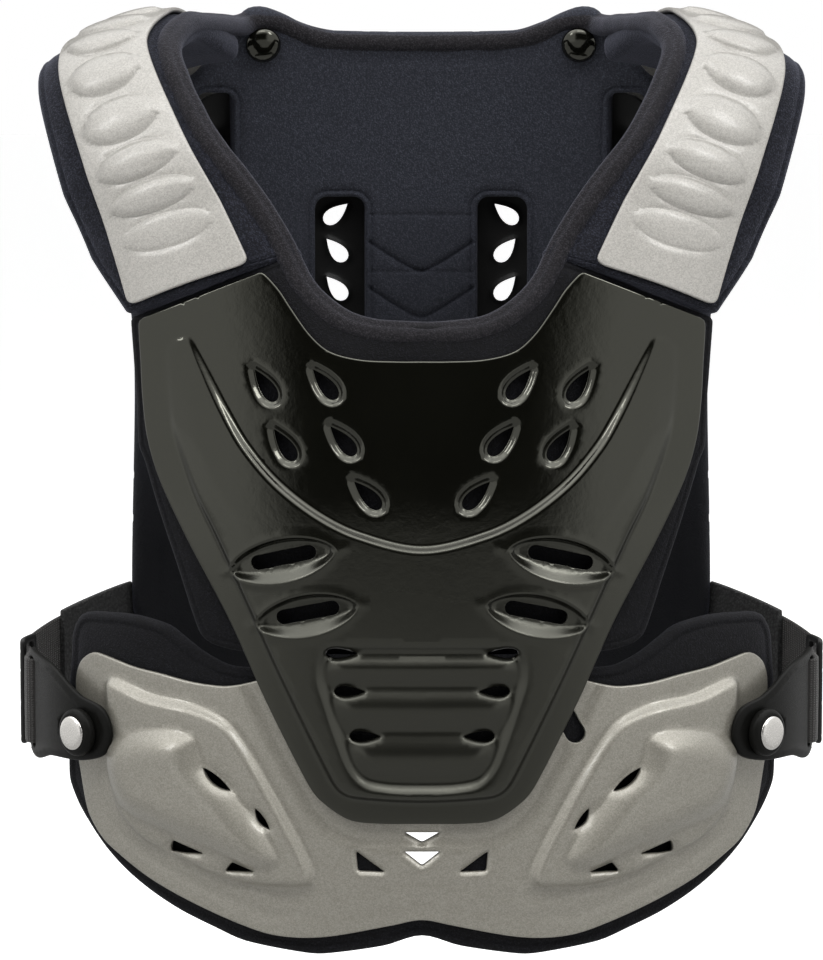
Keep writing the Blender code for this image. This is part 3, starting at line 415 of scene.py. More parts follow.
def profileAt(table, at):
    rows = np.array(table)
    spread = np.linspace(rows[0, 0], rows[-1, 0], 80)
    values = np.interp(spread, rows[:, 0], rows[:, 1])
    kernel = np.hanning(13)
    kernel /= kernel.sum()
    padded = np.concatenate([np.full(6, values[0]), values, np.full(6, values[-1])])
    return np.interp(at, spread, np.convolve(padded, kernel, "valid"))


def roundDepth(across, half):
    return np.sqrt(np.maximum(1 - (across / half) ** 2, 0.02))


def chestForm(places):
    x, z = places[:, 0], places[:, 1]
    depth = profileAt(bodyForm["chestProfile"], (chest["top"] - z) / chest["height"])
    return np.stack([x, -bodyForm["chestDepth"] * depth * roundDepth(x, bodyForm["chestHalf"]), z], axis=1)


def softWaves(points, size, seed):
    # gentle uneven swell of foam and cloth, about -1 to 1
    source = np.random.default_rng(seed)
    total = np.zeros(len(points))
    for k in range(7):
        way = source.normal(size=points.shape[1])
        way *= 2 * pi / size / np.linalg.norm(way) * source.uniform(0.6, 1.5)
        total += np.sin(points @ way + source.uniform(0, 2 * pi))
    return total / 3.5


# Looks. Each effect that several materials share is a node group.
def newGroup(name, inputs, outputs):
    group = bpy.data.node_groups.new(name, "ShaderNodeTree")
    for label, kind, value in inputs:
        socket = group.interface.new_socket(name=label, in_out="INPUT", socket_type=kind)
        socket.default_value = value
    for label, kind in outputs:
        group.interface.new_socket(name=label, in_out="OUTPUT", socket_type=kind)
    return group, group.nodes.new("NodeGroupInput"), group.nodes.new("NodeGroupOutput")


def addNode(tree, kind, links=None, **values):
    # a node with its settings, its input values and its links in one call
    node = tree.nodes.new(kind)
    for key, value in values.items():
        if hasattr(node, key):
            setattr(node, key, value)
        else:
            node.inputs[key.replace("_", " ")].default_value = value
    for socket, source in (links or {}).items():
        tree.links.new(source, node.inputs[socket])
    return node


def rangeOf(tree, value, low, high, start=0.0, end=1.0, **kind):
    node = addNode(tree, "ShaderNodeMapRange", {"Value": value}, **kind)
    for label, number in (("From Min", start), ("From Max", end), ("To Min", low), ("To Max", high)):
        node.inputs[label].default_value = number
    return node.outputs[0]


def scaleFrom(tree, size):
    node = addNode(tree, "ShaderNodeMath", {1: size}, operation="DIVIDE")
    node.inputs[0].default_value = 1.0
    return node.outputs[0]


def makeGrainGroup():
    group, given, result = newGroup(
        "surfaceGrain",
        [("Size", "NodeSocketFloat", 0.001), ("Contrast", "NodeSocketFloat", 1.0)],
        [("Grain", "NodeSocketFloat"), ("Drift", "NodeSocketFloat")],
    )
    spot = addNode(group, "ShaderNodeTexCoord")
    scale = scaleFrom(group, given.outputs["Size"])
    fine = addNode(group, "ShaderNodeTexNoise", {"Vector": spot.outputs["Object"], "Scale": scale},
                   Detail=3.0, Roughness=0.7)
    broad = addNode(group, "ShaderNodeTexNoise", {"Vector": spot.outputs["Object"]}, Scale=22.0, Detail=4.0)
    spread = addNode(group, "ShaderNodeMapRange",
                     {"Value": fine.outputs[0], "To Max": given.outputs["Contrast"]})
    spread.inputs["From Min"].default_value = 0.32
    spread.inputs["From Max"].default_value = 0.68
    group.links.new(spread.outputs[0], result.inputs["Grain"])
    group.links.new(broad.outputs[0], result.inputs["Drift"])
    return group


def makeWeaveGroup():
    group, given, result = newGroup(
        "knitWeave",
        [("Pitch", "NodeSocketFloat", 0.0009)],
        [("Weave", "NodeSocketFloat"), ("Speckle", "NodeSocketFloat")],
    )
    spot = addNode(group, "ShaderNodeTexCoord")
    scale = scaleFrom(group, given.outputs["Pitch"])
    cell = addNode(group, "ShaderNodeTexVoronoi", {"Vector": spot.outputs["Object"], "Scale": scale},
                   feature="F1", Randomness=1.0)
    speck = addNode(group, "ShaderNodeTexNoise", {"Vector": spot.outputs["Object"], "Scale": scale},
                    Detail=2.0)
    rounded = rangeOf(group, cell.outputs["Distance"], 1.0, 0.0, 0.0, 0.75)
    group.links.new(rounded, result.inputs["Weave"])
    group.links.new(speck.outputs[0], result.inputs["Speckle"])
    return group


def makeFleckGroup():
    group, given, result = newGroup(
        "metalFleck",
        [("Size", "NodeSocketFloat", 0.0004), ("Amount", "NodeSocketFloat", 0.5)],
        [("Fleck", "NodeSocketFloat"), ("Cloud", "NodeSocketFloat")],
    )
    spot = addNode(group, "ShaderNodeTexCoord")
    scale = scaleFrom(group, given.outputs["Size"])
    cell = addNode(group, "ShaderNodeTexVoronoi", {"Vector": spot.outputs["Object"], "Scale": scale},
                   feature="F1")
    apart = addNode(group, "ShaderNodeSeparateColor", {"Color": cell.outputs["Color"]})
    amount = addNode(group, "ShaderNodeMath", {0: apart.outputs[0], 1: given.outputs["Amount"]},
                     operation="MULTIPLY")
    cloud = addNode(group, "ShaderNodeTexNoise", {"Vector": spot.outputs["Object"]}, Scale=60.0, Detail=5.0)
    group.links.new(amount.outputs[0], result.inputs["Fleck"])
    group.links.new(cloud.outputs[0], result.inputs["Cloud"])
    return group


grainGroup, weaveGroup, fleckGroup = makeGrainGroup(), makeWeaveGroup(), makeFleckGroup()


def newLook(name, **sockets):
    look = bpy.data.materials.new(name)
    look.use_nodes = True
    tree = look.node_tree
    shader = tree.nodes["Principled BSDF"]
    for key, value in sockets.items():
        shader.inputs[key.replace("_", " ")].default_value = value
    return look, tree, shader


def useGroup(tree, group, **values):
    node = tree.nodes.new("ShaderNodeGroup")
    node.node_tree = group
    for key, value in values.items():
        node.inputs[key].default_value = value
    return node


def blendColours(tree, factor, first, second):
    mix = tree.nodes.new("ShaderNodeMix")
    mix.data_type = "RGBA"
    tree.links.new(factor, mix.inputs["Factor"])
    mix.inputs["A"].default_value = (*first, 1)
    mix.inputs["B"].default_value = (*second, 1)
    return mix.outputs["Result"]


def heightMask(tree, low, high, start, end):
    # a value that changes with height on the part
    place = tree.nodes.new("ShaderNodeTexCoord").outputs["Object"]
    apart = addNode(tree, "ShaderNodeSeparateXYZ", {"Vector": place})
    return rangeOf(tree, apart.outputs["Z"], low, high, start, end, interpolation_type="SMOOTHSTEP")


def addUp(tree, *values):
    total = values[0]
    for value in values[1:]:
        total = addNode(tree, "ShaderNodeMath", {0: total, 1: value}, operation="ADD").outputs[0]
    return total


def bumpFrom(tree, shader, height, distance, strength=1.0):
    bump = addNode(tree, "ShaderNodeBump", {"Height": height}, Distance=distance, Strength=strength)
    tree.links.new(bump.outputs[0], shader.inputs["Normal"])


def glossBlackLook():
    look, tree, shader = newLook("glossBlack", Specular_IOR_Level=0.75)
    shader.inputs["Specular Tint"].default_value = (1.0, 1.0, 0.86, 1)
    grain = useGroup(tree, grainGroup, Size=0.006, Contrast=1.0)
    # the ribbed end is duller than the rest
    dull = heightMask(tree, low=0.22, high=0.0, start=-0.285, end=-0.205)
    colour = blendColours(tree, grain.outputs["Drift"], (0.0022, 0.0022, 0.0016), (0.0042, 0.0042, 0.0029))
    tree.links.new(colour, shader.inputs["Base Color"])
    rough = addUp(tree, rangeOf(tree, grain.outputs["Drift"], 0.06, 0.14), dull)
    tree.links.new(rough, shader.inputs["Roughness"])
    bumpFrom(tree, shader, grain.outputs["Grain"], 0.00003)
    return look


def greyFleckLook(name, dark, light, metal, coat):
    look, tree, shader = newLook(name, Metallic=metal, Coat_Weight=coat, Coat_Roughness=0.12)
    fleck = useGroup(tree, fleckGroup, Size=0.00055, Amount=1.0)
    colour = blendColours(tree, fleck.outputs["Fleck"], dark, light)
    tree.links.new(colour, shader.inputs["Base Color"])
    tree.links.new(rangeOf(tree, fleck.outputs["Cloud"], 0.30, 0.42), shader.inputs["Roughness"])
    bumpFrom(tree, shader, fleck.outputs["Fleck"], 0.00003)
    return look


def padClothLook(name, dark, light, pitch=0.0009, sheen=0.18, shade=(-0.9, -0.8), least=0.0):
    look, tree, shader = newLook(name, Roughness=0.85, Specular_IOR_Level=0.25,
                                  Sheen_Weight=sheen, Sheen_Roughness=0.45)
    shader.inputs["Sheen Tint"].default_value = (0.75, 0.78, 1.0, 1)
    weave = useGroup(tree, weaveGroup, Pitch=pitch)
    grain = useGroup(tree, grainGroup, Size=0.0016, Contrast=1.0)
    knit = addNode(tree, "ShaderNodeMath", {0: weave.outputs["Weave"], 1: grain.outputs["Grain"]},
                   operation="MULTIPLY")
    # stands in for the shadow low down between front and back
    links = {0: rangeOf(tree, knit.outputs[0], least, 1.0), 1: heightMask(tree, 0.0, 1.0, *shade)}
    tone = addNode(tree, "ShaderNodeMath", links, operation="MULTIPLY")
    tree.links.new(blendColours(tree, tone.outputs[0], dark, light), shader.inputs["Base Color"])
    tree.links.new(rangeOf(tree, grain.outputs["Drift"], 0.75, 0.95), shader.inputs["Roughness"])
    bumpFrom(tree, shader, knit.outputs[0], 0.00035)
    return look


def mattBlackLook(name, shine, dark, light):
    look, tree, shader = newLook(name, Specular_IOR_Level=shine)
    grain = useGroup(tree, grainGroup, Size=0.0007, Contrast=1.0)
    tree.links.new(blendColours(tree, grain.outputs["Drift"], dark, light), shader.inputs["Base Color"])
    tree.links.new(rangeOf(tree, grain.outputs["Grain"], 0.36, 0.52), shader.inputs["Roughness"])
    bumpFrom(tree, shader, grain.outputs["Grain"], 0.00005)
    return look


def brightMetalLook():
    look, tree, shader = newLook("brightMetal", Metallic=1.0)
    grain = useGroup(tree, grainGroup, Size=0.0009, Contrast=1.0)
    colour = blendColours(tree, grain.outputs["Drift"], (0.62, 0.60, 0.57), (0.80, 0.78, 0.74))
    tree.links.new(colour, shader.inputs["Base Color"])
    tree.links.new(rangeOf(tree, grain.outputs["Grain"], 0.16, 0.30), shader.inputs["Roughness"])
    bumpFrom(tree, shader, grain.outputs["Grain"], 0.00003)
    return look


def webbingLook():
    # ribs run across the strap: the map holds metres along it and across it
    look, tree, shader = newLook("wovenStrap", Roughness=0.8, Sheen_Weight=0.2, Sheen_Roughness=0.5)
    place = addNode(tree, "ShaderNodeUVMap", uv_map="along")
    ribs = addNode(tree, "ShaderNodeTexWave", {"Vector": place.outputs[0]}, bands_direction="X",
                   Scale=190.0, Distortion=0.6, Detail=1.0)
    cords = addNode(tree, "ShaderNodeTexWave", {"Vector": place.outputs[0]}, bands_direction="Y",
                    Scale=260.0, Distortion=0.3, Detail=1.0)
    both = addNode(tree, "ShaderNodeMath", {0: ribs.outputs["Fac"], 1: cords.outputs["Fac"]},
                   operation="MULTIPLY")
    colour = blendColours(tree, both.outputs[0], (0.010, 0.009, 0.008), (0.034, 0.031, 0.028))
    tree.links.new(colour, shader.inputs["Base Color"])
    bumpFrom(tree, shader, both.outputs[0], 0.0004)
    return look


def strapEndLook():
    look, tree, shader = newLook("grainedEnd", Specular_IOR_Level=0.4)
    weave = useGroup(tree, weaveGroup, Pitch=0.0016)
    colour = blendColours(tree, weave.outputs["Weave"], (0.010, 0.010, 0.010), (0.026, 0.026, 0.026))
    tree.links.new(colour, shader.inputs["Base Color"])
    tree.links.new(rangeOf(tree, weave.outputs["Weave"], 0.7, 0.45), shader.inputs["Roughness"])
    bumpFrom(tree, shader, weave.outputs["Weave"], 0.0004)
    return look


def floorLook():
    look, tree, shader = newLook("paleFloor", Roughness=0.9, Specular_IOR_Level=0.1,
                                  Emission_Strength=stage["floorGlow"])
    shader.inputs["Emission Color"].default_value = (1, 1, 1, 1)
    # only the camera sees the glow, so that it lights nothing
    path = tree.nodes.new("ShaderNodeLightPath")
    seen = addNode(tree, "ShaderNodeMath", {0: path.outputs["Is Camera Ray"]}, operation="MULTIPLY")
    seen.inputs[1].default_value = stage["floorGlow"]
    tree.links.new(seen.outputs[0], shader.inputs["Emission Strength"])
    grain = useGroup(tree, grainGroup, Size=0.05, Contrast=1.0)
    colour = blendColours(tree, grain.outputs["Drift"], (0.93, 0.93, 0.93), (0.96, 0.96, 0.96))
    tree.links.new(colour, shader.inputs["Base Color"])
    return look


glossBlack = glossBlackLook()
mattBlack = mattBlackLook("mattBlack", 0.35, (0.0045, 0.0045, 0.0045), (0.0100, 0.0100, 0.0100))
hookBlack = mattBlackLook("hookBlack", 0.10, (0.0030, 0.0030, 0.0026), (0.0070, 0.0070, 0.0062))
shoulderFleck = greyFleckLook("shoulderFleck", (0.365, 0.350, 0.325), (0.500, 0.485, 0.450), 0.08, 0.22)
# the same grey paint as the shoulders, made darker and warmer: painted shade, as the belly faces away from the light
# from above
shadedBellyFleck = greyFleckLook("shadedBellyFleck", (0.228, 0.216, 0.182), (0.318, 0.304, 0.262), 0.35, 0.4)
padCloth = padClothLook("padCloth", (0.0030, 0.0033, 0.0055), (0.0440, 0.0470, 0.0660))
# a lit copy of the pad cloth: its lighter colour is painted light falling over the chest, and its fade to dark low down
# is painted shadow
litShadedBackCloth = padClothLook("litShadedBackCloth", (0.0020, 0.0022, 0.0032), (0.0800, 0.0860, 0.1120),
                         0.0009, 0.05, (-0.27, -0.03), 0.25)
# a darker copy of the pad cloth for the chest and belly pads: painted shade
paintedShadeCloth = padClothLook("paintedShadeCloth", (0.0010, 0.0010, 0.0014), (0.0130, 0.0130, 0.0170), 0.0009, 0.03)
rollCloth = padClothLook("rollCloth", (0.0060, 0.0055, 0.0065), (0.0520, 0.0480, 0.0530), 0.0008)
brightMetal, wovenStrap, grainedEnd = brightMetalLook(), webbingLook(), strapEndLook()
print("looks made")


def chestVents():
    rings = []
    for way in (1, -1):
        for across, down, lean in chest["vents"]:
            rings.append(teardrop(placeOf(chest, way * across, down), *chest["ventSize"],
                                  radians(-way * lean)))
    return rings


def chestSmallVents():
    return [teardrop(placeOf(chest, way * across, down), *chest["smallVent"], radians(way * 90), 20)
            for way in (1, -1) for across, down in chest["smallVents"]]


def chestSlots():
    rings = []
    for way in (1, -1):
        for across, down, fall, size in chest["louvres"]:
            length, width = chest["slot"]
            half = (length * size - width) / 2
            ends = turned([(-half, 0), (half, 0)], radians(-way * fall), placeOf(chest, way * across, down))
            rings.append(slot(ends[0], ends[1], width))
    return rings


def panelLines():
    # the panel's edge along the bib, and its outer edge
    panel = ringOf(chest, "panel")
    tip = placeOf(chest, 0.809, 0.111)
    right, left = (int(np.argmin(np.linalg.norm(panel - tip * [way, 1], axis=1))) for way in (1, -1))
    return np.concatenate([panel[left:], panel[: right + 1]]), panel[right : left + 1]


def chestRaise(places, start, end):
    # the panel stands higher towards the foot of the bib
    down = (chest["top"] - places[:, 1]) / chest["height"]
    more = chest["panelRaise"] - chest["panelRaiseTop"]
    return chest["panelRaiseTop"] + more * easeStep((down - start) / (end - start))


def chestRelief(places):
    panel, recess = ringOf(chest, "panel"), ringOf(chest, "recess")
    bibEdge, outerEdge = (distanceTo(places, line, closed=False) for line in panelLines())
    height = np.minimum(chestRaise(places, 0.09, 0.34), 1.0)
    outerHeight = chestRaise(places, 0.20, 0.62)
    middle = easeStep(outerEdge / 0.016)
    height = outerHeight + (height - outerHeight) * middle
    lift = height * easeStep(bibEdge / chest["bibSlope"]) * easeStep(outerEdge / chest["panelSlope"])
    lift = np.where(isInside(places, panel), lift, 0)
    inner = np.where(isInside(places, recess), distanceTo(places, recess), 0)
    sunk = easeStep(inner / chest["recessSlope"])
    lift -= chest["recessDepth"] * sunk
    down = (chest["top"] - places[:, 1]) / chest["height"]
    for top, bottom in zip(chest["grooves"], chest["grooves"][1:]):
        share = np.clip((down - top) / (bottom - top), 0, 1)
        lift += chest["ribRaise"] * easeStep((inner - 0.002) / 0.012) * np.sin(pi * share) ** 1.25
    for way in (1, -1):
        for across, low, fall, size in chest["louvres"]:
            offset = places - placeOf(chest, way * across, low) + [0, chest["louvreDrop"]]
            local = turned(offset, radians(way * fall))
            u = local[:, 0] / (chest["louvre"][0] * size / 2)
            v = local[:, 1] / (chest["louvre"][1] * size / 2)
            lens = np.clip(1 - u**2, 0, 1) ** 0.7
            w = np.where(lens > 1e-4, v / np.maximum(lens, 1e-4), 9)
            ends = easeStep(lens / 0.5)
            scoop = np.where(w > 0.1, easeStep((1 - w) / 0.28), easeStep((w + 1) / 0.78))
            lift -= chest["louvreDish"] * ends * scoop * (np.abs(w) < 1)
            reach = np.abs(v) - np.clip(1 - u**2, 0, 1) ** 0.7 + 0.25 * np.clip(np.abs(u) - 1, 0, 9)
            lift += chest["louvreLip"] * np.exp(-((reach / 0.14) ** 2)) * (np.abs(u) < 1.2)
    depth, width = chest["ventDish"]
    for ring in chestVents():
        share = np.clip(distanceTo(places, ring) / width, 0, 1)
        lift -= depth * (1 - easeStep(share)) ** 1.2
    return lift - rimDish(places, chestSmallVents(), *chest["smallDish"])


def louvreLenses():
    rings = []
    for way in (1, -1):
        for across, down, fall, size in chest["louvres"]:
            u = np.linspace(-1, 1, 31)
            tall = (1 - u**2) ** 0.7
            lens = np.concatenate([np.stack([u, tall], 1), np.stack([-u, -tall], 1)[1:-1]])
            lens *= np.array(chest["louvre"]) * size / 2
            middle = placeOf(chest, way * across, down) - [0, chest["louvreDrop"]]
            rings.append(turned(lens, radians(-way * fall), middle))
    return rings


def makeChestShell():
    outline = ringOf(chest, "outline")
    panel, recess = ringOf(chest, "panel"), ringOf(chest, "recess")
    vents, small, slots = chestVents(), chestSmallVents(), chestSlots()
    lines = edgeRings([outline], chest["edge"]) + edgeRings([outline, *slots], 0.0014)[4:]
    lines += ringsBeside(vents, (-0.0004, -0.0010, -0.0017, -0.0025, -0.0034, -0.0043))
    lines += ringsBeside(small, (-0.0004, -0.0010, -0.0018))
    lines += ringsBeside(louvreLenses(), (0, -0.0010, 0.0008, 0.0017, 0.0027, 0.0038, 0.0050))
    lines += ringsBeside([panel], (-0.001, 0, 0.0009, 0.0018, 0.0027, 0.0036, 0.0048))
    lines += ringsBeside([recess], (0, 0.0016, 0.0032, 0.0048, 0.0064))
    net = fillNet(outline, vents + small + slots, chest["step"], lines)
    fall = roundOff(distanceTo(net["places"], outline), chest["edge"])
    relief = chestRelief(net["places"])
    made = buildShell("chestShell", chestForm, net, relief - fall, relief - chest["wall"] + fall, glossBlack)
    settle(made, "gloss_black", "chest_plate")


makeChestShell()
print("chest shell made")


chestPad = {
    "half": chest["half"],
    "top": chest["top"],
    "height": chest["height"],
    "step": 0.0034,
    "thick": 0.011,
    "ventSink": 0.0048,
    "round": 0.0046,
    "seamIn": 0.0042,
    "seamDepth": 0.0009,
    "outline": [
        (0.000, 0.087, 0), (0.130, 0.087, 0), (0.206, 0.080, 0), (0.268, 0.070, 0), (0.352, 0.036, 0),
        (0.423, -0.003, 0), (0.446, -0.030, 0), (0.470, -0.034, 0),
        (1.040, 0.084, 0), (1.050, 0.092, 0), (1.040, 0.166, 0),
        (1.029, 0.239, 0), (1.022, 0.321, 0), (1.001, 0.348, 0), (0.953, 0.429, 0), (0.864, 0.564, 0),
        (0.818, 0.636, 0), (0.790, 0.668, 0), (0.740, 0.684, 0), (0.626, 0.693, 0), (0.000, 0.693, 0),
    ],
}


def seamLine(distance, place, depth, width=0.0009):
    # a sewn line as a narrow groove
    return depth * np.exp(-(((distance - place) / width) ** 2))


def makeFoam(name, piece, form, outline, holes, front, side=1, left=False, look=None):
    # a cloth covered foam wall with round edges; front holds the heights of its outer face
    radius, thick = piece["round"], piece["thick"]
    lines = edgeRings([outline, *holes], radius)
    lines += [besideRing(outline, piece["seamIn"] + k) for k in (-0.0009, 0, 0.0009)]
    net = fillNet(outline, holes, piece["step"], lines)
    fall = roundOff(net["rim"], radius)
    top, bottom = front(net["places"], net["rim"]), -thick + fall
    return buildShell(name, form, net, top - fall, bottom, look or padCloth, side, left)


def makeChestPad():
    outline = ringOf(chestPad, "outline")

    def front(places, rim):
        height = -seamLine(rim, chestPad["seamIn"], chestPad["seamDepth"]) + 0.0002 * softWaves(places, 0.05, 3)
        # it sinks behind the vents
        for ring in chestVents() + chestSlots() + chestSmallVents():
            reach = np.where(isInside(places, ring), 0, distanceTo(places, ring))
            height = np.minimum(height, -chestPad["ventSink"] * (1 - easeStep((reach - 0.001) / 0.007)))
        return height

    form = raisedForm(chestForm, -(chest["wall"] + bodyForm["chestSeat"]))
    # its cloth is darkened with painted shade
    settle(makeFoam("chestPad", chestPad, form, outline, [], front, look=paintedShadeCloth),
           "dark_fabric", "chest_liner", fill=0.9)


makeChestPad()
print("chest pad made")

belly = {
    "half": 0.176,
    "top": -0.300,
    "height": 0.135,
    "wall": 0.0026,
    "edge": 0.0011,
    "step": 0.0028,
    "wingRaise": 0.0054,
    "wingSlope": 0.0052,
    "domeRaise": 0.0080,
    "domeSlope": 0.0135,
    "stepRaise": 0.0016,
    "lineDepth": 0.0007,
    "lineReaches": (0.0100, 0.0205),
    "ventDish": (0.0018, 0.0026, 1.4),  # depth, width, power
    "slitDish": (0.0010, 0.0030, 1.5),
    "slitWidth": 0.0036,
    "adjustHole": 0.0098,
    "adjustRun": (0.0045, 0.0085),
    "outline": [
        (0.000, 0.030, 0), (0.400, 0.035, 0), (0.511, 0.069, 0), (0.561, 0.079, 0), (0.647, 0.072, 0),
        (0.735, 0.051, 0), (0.824, 0.033, 0), (0.902, 0.007, 0), (0.946, 0.000, 0), (0.984, 0.040, 0),
        (1.000, 0.103, 0), (1.000, 0.213, 0), (0.999, 0.365, 0), (0.990, 0.450, 0), (0.966, 0.604, 0),
        (0.926, 0.690, 0), (0.883, 0.737, 0), (0.769, 0.829, 0), (0.608, 0.919, 0), (0.450, 0.987, 0),
        (0.351, 1.000, 0), (0.252, 0.989, 0), (0.082, 0.944, 0), (0.000, 0.924, 0),
    ],
    "wing": [
        (0.890, 0.075, 0), (0.765, 0.122, 0), (0.633, 0.149, 0), (0.533, 0.211, 0), (0.448, 0.368, 0),
        (0.335, 0.636, 0), (0.299, 0.746, 0), (0.305, 0.805, 0), (0.364, 0.820, 0), (0.478, 0.817, 0),
        (0.593, 0.790, 0), (0.709, 0.730, 0), (0.801, 0.676, 0), (0.878, 0.560, 0), (0.900, 0.380, 0),
        (0.905, 0.180, 0),
    ],
    "dome": [
        (0.597, 0.356, 0), (0.520, 0.452, 0), (0.432, 0.600, 0), (0.392, 0.700, 0), (0.420, 0.737, 0),
        (0.474, 0.741, 0), (0.540, 0.711, 0), (0.608, 0.674, 0), (0.693, 0.637, 0), (0.846, 0.548, 0),
        (0.881, 0.333, 0), (0.761, 0.252, 0), (0.631, 0.259, 0),
    ],
    # a step runs parallel to the chest shell's foot
    "stepLine": [(0.000, 1.045), (0.230, 1.045), (0.330, 1.020), (0.410, 0.975),
                 (0.610, 0.777), (0.750, 0.633), (0.900, 0.490)],
    "slits": [(0.603, 0.375, 0.525, 0.459), (0.462, 0.517, 0.420, 0.596)],
    "vents": [
        ((0.697, 0.660), (0.709, 0.707), (0.607, 0.702)),
        ((0.529, 0.724), (0.549, 0.760), (0.464, 0.756)),
        ((0.186, 0.671), (0.181, 0.745), (0.105, 0.747)),
    ],
    "centreVents": [((0.052, 0.602), (0.000, 0.640)), ((0.052, 0.671), (0.000, 0.724))],
    "adjustAt": (0.245, (0.432, -0.300)),
}


def bellyForm(places):
    x, z = places[:, 0], places[:, 1]
    depth = bodyForm["chestDepth"] - chest["wall"] - bodyForm["bellySeat"]
    return np.stack([x, -depth * roundDepth(x, bodyForm["bellyHalf"]), z], axis=1)


def softCorners(corners, radius=0.0012):
    # a three cornered hole with small round corners
    corners = np.array(corners)
    ring = []
    for before, here, after in zip(np.roll(corners, 1, axis=0), corners, np.roll(corners, -1, axis=0)):
        one, two = before - here, after - here
        one, two = one / np.linalg.norm(one), two / np.linalg.norm(two)
        for t in (0, 0.5, 1):
            ring.append(here + radius * ((1 - t) ** 2 * one + t**2 * two))
    return splitEdges(np.array(ring), 0.0022)


def bellyVents():
    rings = []
    for corners in belly["vents"]:
        ring = softCorners([placeOf(belly, *corner) for corner in corners])
        rings += [ring, mirrored(ring)]
    for edge, tip in belly["centreVents"]:
        corners = [placeOf(belly, *edge), placeOf(belly, -edge[0], edge[1]), placeOf(belly, *tip)]
        rings.append(softCorners(corners))
    return rings


def leaf(start, end, width):
    # a slit with pointed ends, fuller on its inner side
    start, end = np.array(start), np.array(end)
    along = end - start
    aside = np.array([-along[1], along[0]]) / np.linalg.norm(along)
    t = np.linspace(0, 1, 13)[:, None]
    bulge = np.sin(pi * t) ** 0.8 * width
    upper, lower = start + along * t + aside * bulge * 0.7, start + along * t - aside * bulge * 0.3
    return splitEdges(np.concatenate([upper, lower[::-1][1:-1]])[::-1], 0.002)


def hiddenVents():
    # the slots of the chest shell go on through the belly shell behind it
    return [besideRing(ring, -0.0008) for ring in chestSmallVents()]


def bellySlits():
    rings = []
    for x0, z0, x1, z1 in belly["slits"]:
        ring = leaf(placeOf(belly, x0, z0), placeOf(belly, x1, z1), belly["slitWidth"])
        rings += [ring, mirrored(ring)]
    return rings


def adjustHoles():
    down, places = belly["adjustAt"]
    rings = []
    for across in places:
        end = placeOf(belly, across, down)
        rings.append(slot(end, end + np.array(belly["adjustRun"]) * [np.sign(-across), 1], belly["adjustHole"]))
    return rings


def sideRings(key):
    ring = closedLine(rowsOf(belly, belly[key]), belly["step"])
    return [ring, mirrored(ring)]


def riseInside(places, ring, slope):
    return np.where(isInside(places, ring), easeStep(distanceTo(places, ring) / slope), 0)


def bellyRelief(places, rim):
    lift = np.zeros(len(places))
    for ring in sideRings("wing"):
        lift += belly["wingRaise"] * riseInside(places, ring, belly["wingSlope"])
    for ring in sideRings("dome"):
        inner = np.where(isInside(places, ring), distanceTo(places, ring), 0)
        lift += belly["domeRaise"] * np.sin(pi / 2 * np.clip(inner / belly["domeSlope"], 0, 1))
    right = np.array([placeOf(chest, across, down) for across, down in belly["stepLine"]])
    line = np.concatenate([mirrored(right)[:-1], right])
    above = np.interp(np.abs(places[:, 0]), right[:, 0], right[:, 1], right=right[-1, 1]) < places[:, 1]
    reach = distanceTo(places, line, closed=False) * np.where(above, 1, -1)
    lift -= belly["stepRaise"] * easeStep((reach + 0.0012) / 0.0024)
    outer = distanceTo(places, ringOf(belly, "outline"))
    for place in belly["lineReaches"]:
        low = easeStep((belly["top"] - 0.55 * belly["height"] - places[:, 1]) / 0.02)
        lift -= low * seamLine(outer, place, belly["lineDepth"], 0.0011)
    lift -= rimDish(places, bellyVents(), *belly["ventDish"])
    return lift - rimDish(places, bellySlits(), *belly["slitDish"])


def makeBellyShell():
    outline = ringOf(belly, "outline")
    holes = bellyVents() + bellySlits() + adjustHoles() + hiddenVents()
    lines = edgeRings([outline], belly["edge"])
    lines += ringsBeside(holes, (-0.0004, -0.001, -0.0018, -0.0028))
    lines += ringsBeside(sideRings("wing"), (0, 0.0015, 0.003, 0.0045, 0.006))
    lines += ringsBeside(sideRings("dome"), (0, 0.0015, 0.003))
    net = fillNet(outline, holes, belly["step"], lines)
    fall = roundOff(distanceTo(net["places"], outline), belly["edge"])
    relief = bellyRelief(net["places"], net["rim"])
    # its paint is the darker copy of the shoulder paint, with painted shade in it
    made = buildShell("bellyShell", bellyForm, net, relief - fall, relief - belly["wall"] + fall, shadedBellyFleck)
    settle(made, "metallic_grey", "belly_plate")


makeBellyShell()
print("belly shell made")

bellyPad = {
    "half": belly["half"],
    "top": belly["top"],
    "height": belly["height"],
    "step": 0.0045,
    "thick": 0.008,
    "round": 0.0036,
    "seamIn": 0.0050,
    "seamDepth": 0.0008,
    "outline": [
        (0.000, 0.010, 0), (0.540, 0.010, 0), (0.625, -0.030, 0), (0.690, -0.085, 0), (0.740, -0.127, 0),
        (0.840, -0.153, 0), (0.932, -0.150, 0), (0.976, -0.145, 0), (1.009, -0.127, 0), (1.036, -0.063, 0),
        (1.043, 0.016, 0), (1.054, 0.260, 0), (1.054, 0.499, 0), (1.034, 0.568, 0), (1.002, 0.634, 0),
        (0.930, 0.747, 0), (0.832, 0.848, 0), (0.713, 0.933, 0), (0.597, 0.993, 0), (0.510, 1.033, 0),
        (0.339, 1.064, 0), (0.280, 1.065, 0), (0.111, 1.030, 0), (0.000, 0.991, 0),
    ],
}


def makeBellyPad():
    outline = ringOf(bellyPad, "outline")

    def front(places, rim):
        return -seamLine(rim, bellyPad["seamIn"], bellyPad["seamDepth"]) + 0.0002 * softWaves(places, 0.045, 5)

    form = raisedForm(bellyForm, -(belly["wall"] + bodyForm["seat"]))
    # the vents pass through the foam in the middle, where light shows through
    holes = [besideRing(ring, -0.001) for ring in bellyVents()[-2:]]
    # its cloth is darkened with painted shade
    settle(makeFoam("bellyPad", bellyPad, form, outline, holes, front, look=paintedShadeCloth),
           "dark_fabric", "belly_liner", fill=0.8)


makeBellyPad()
print("belly pad made")

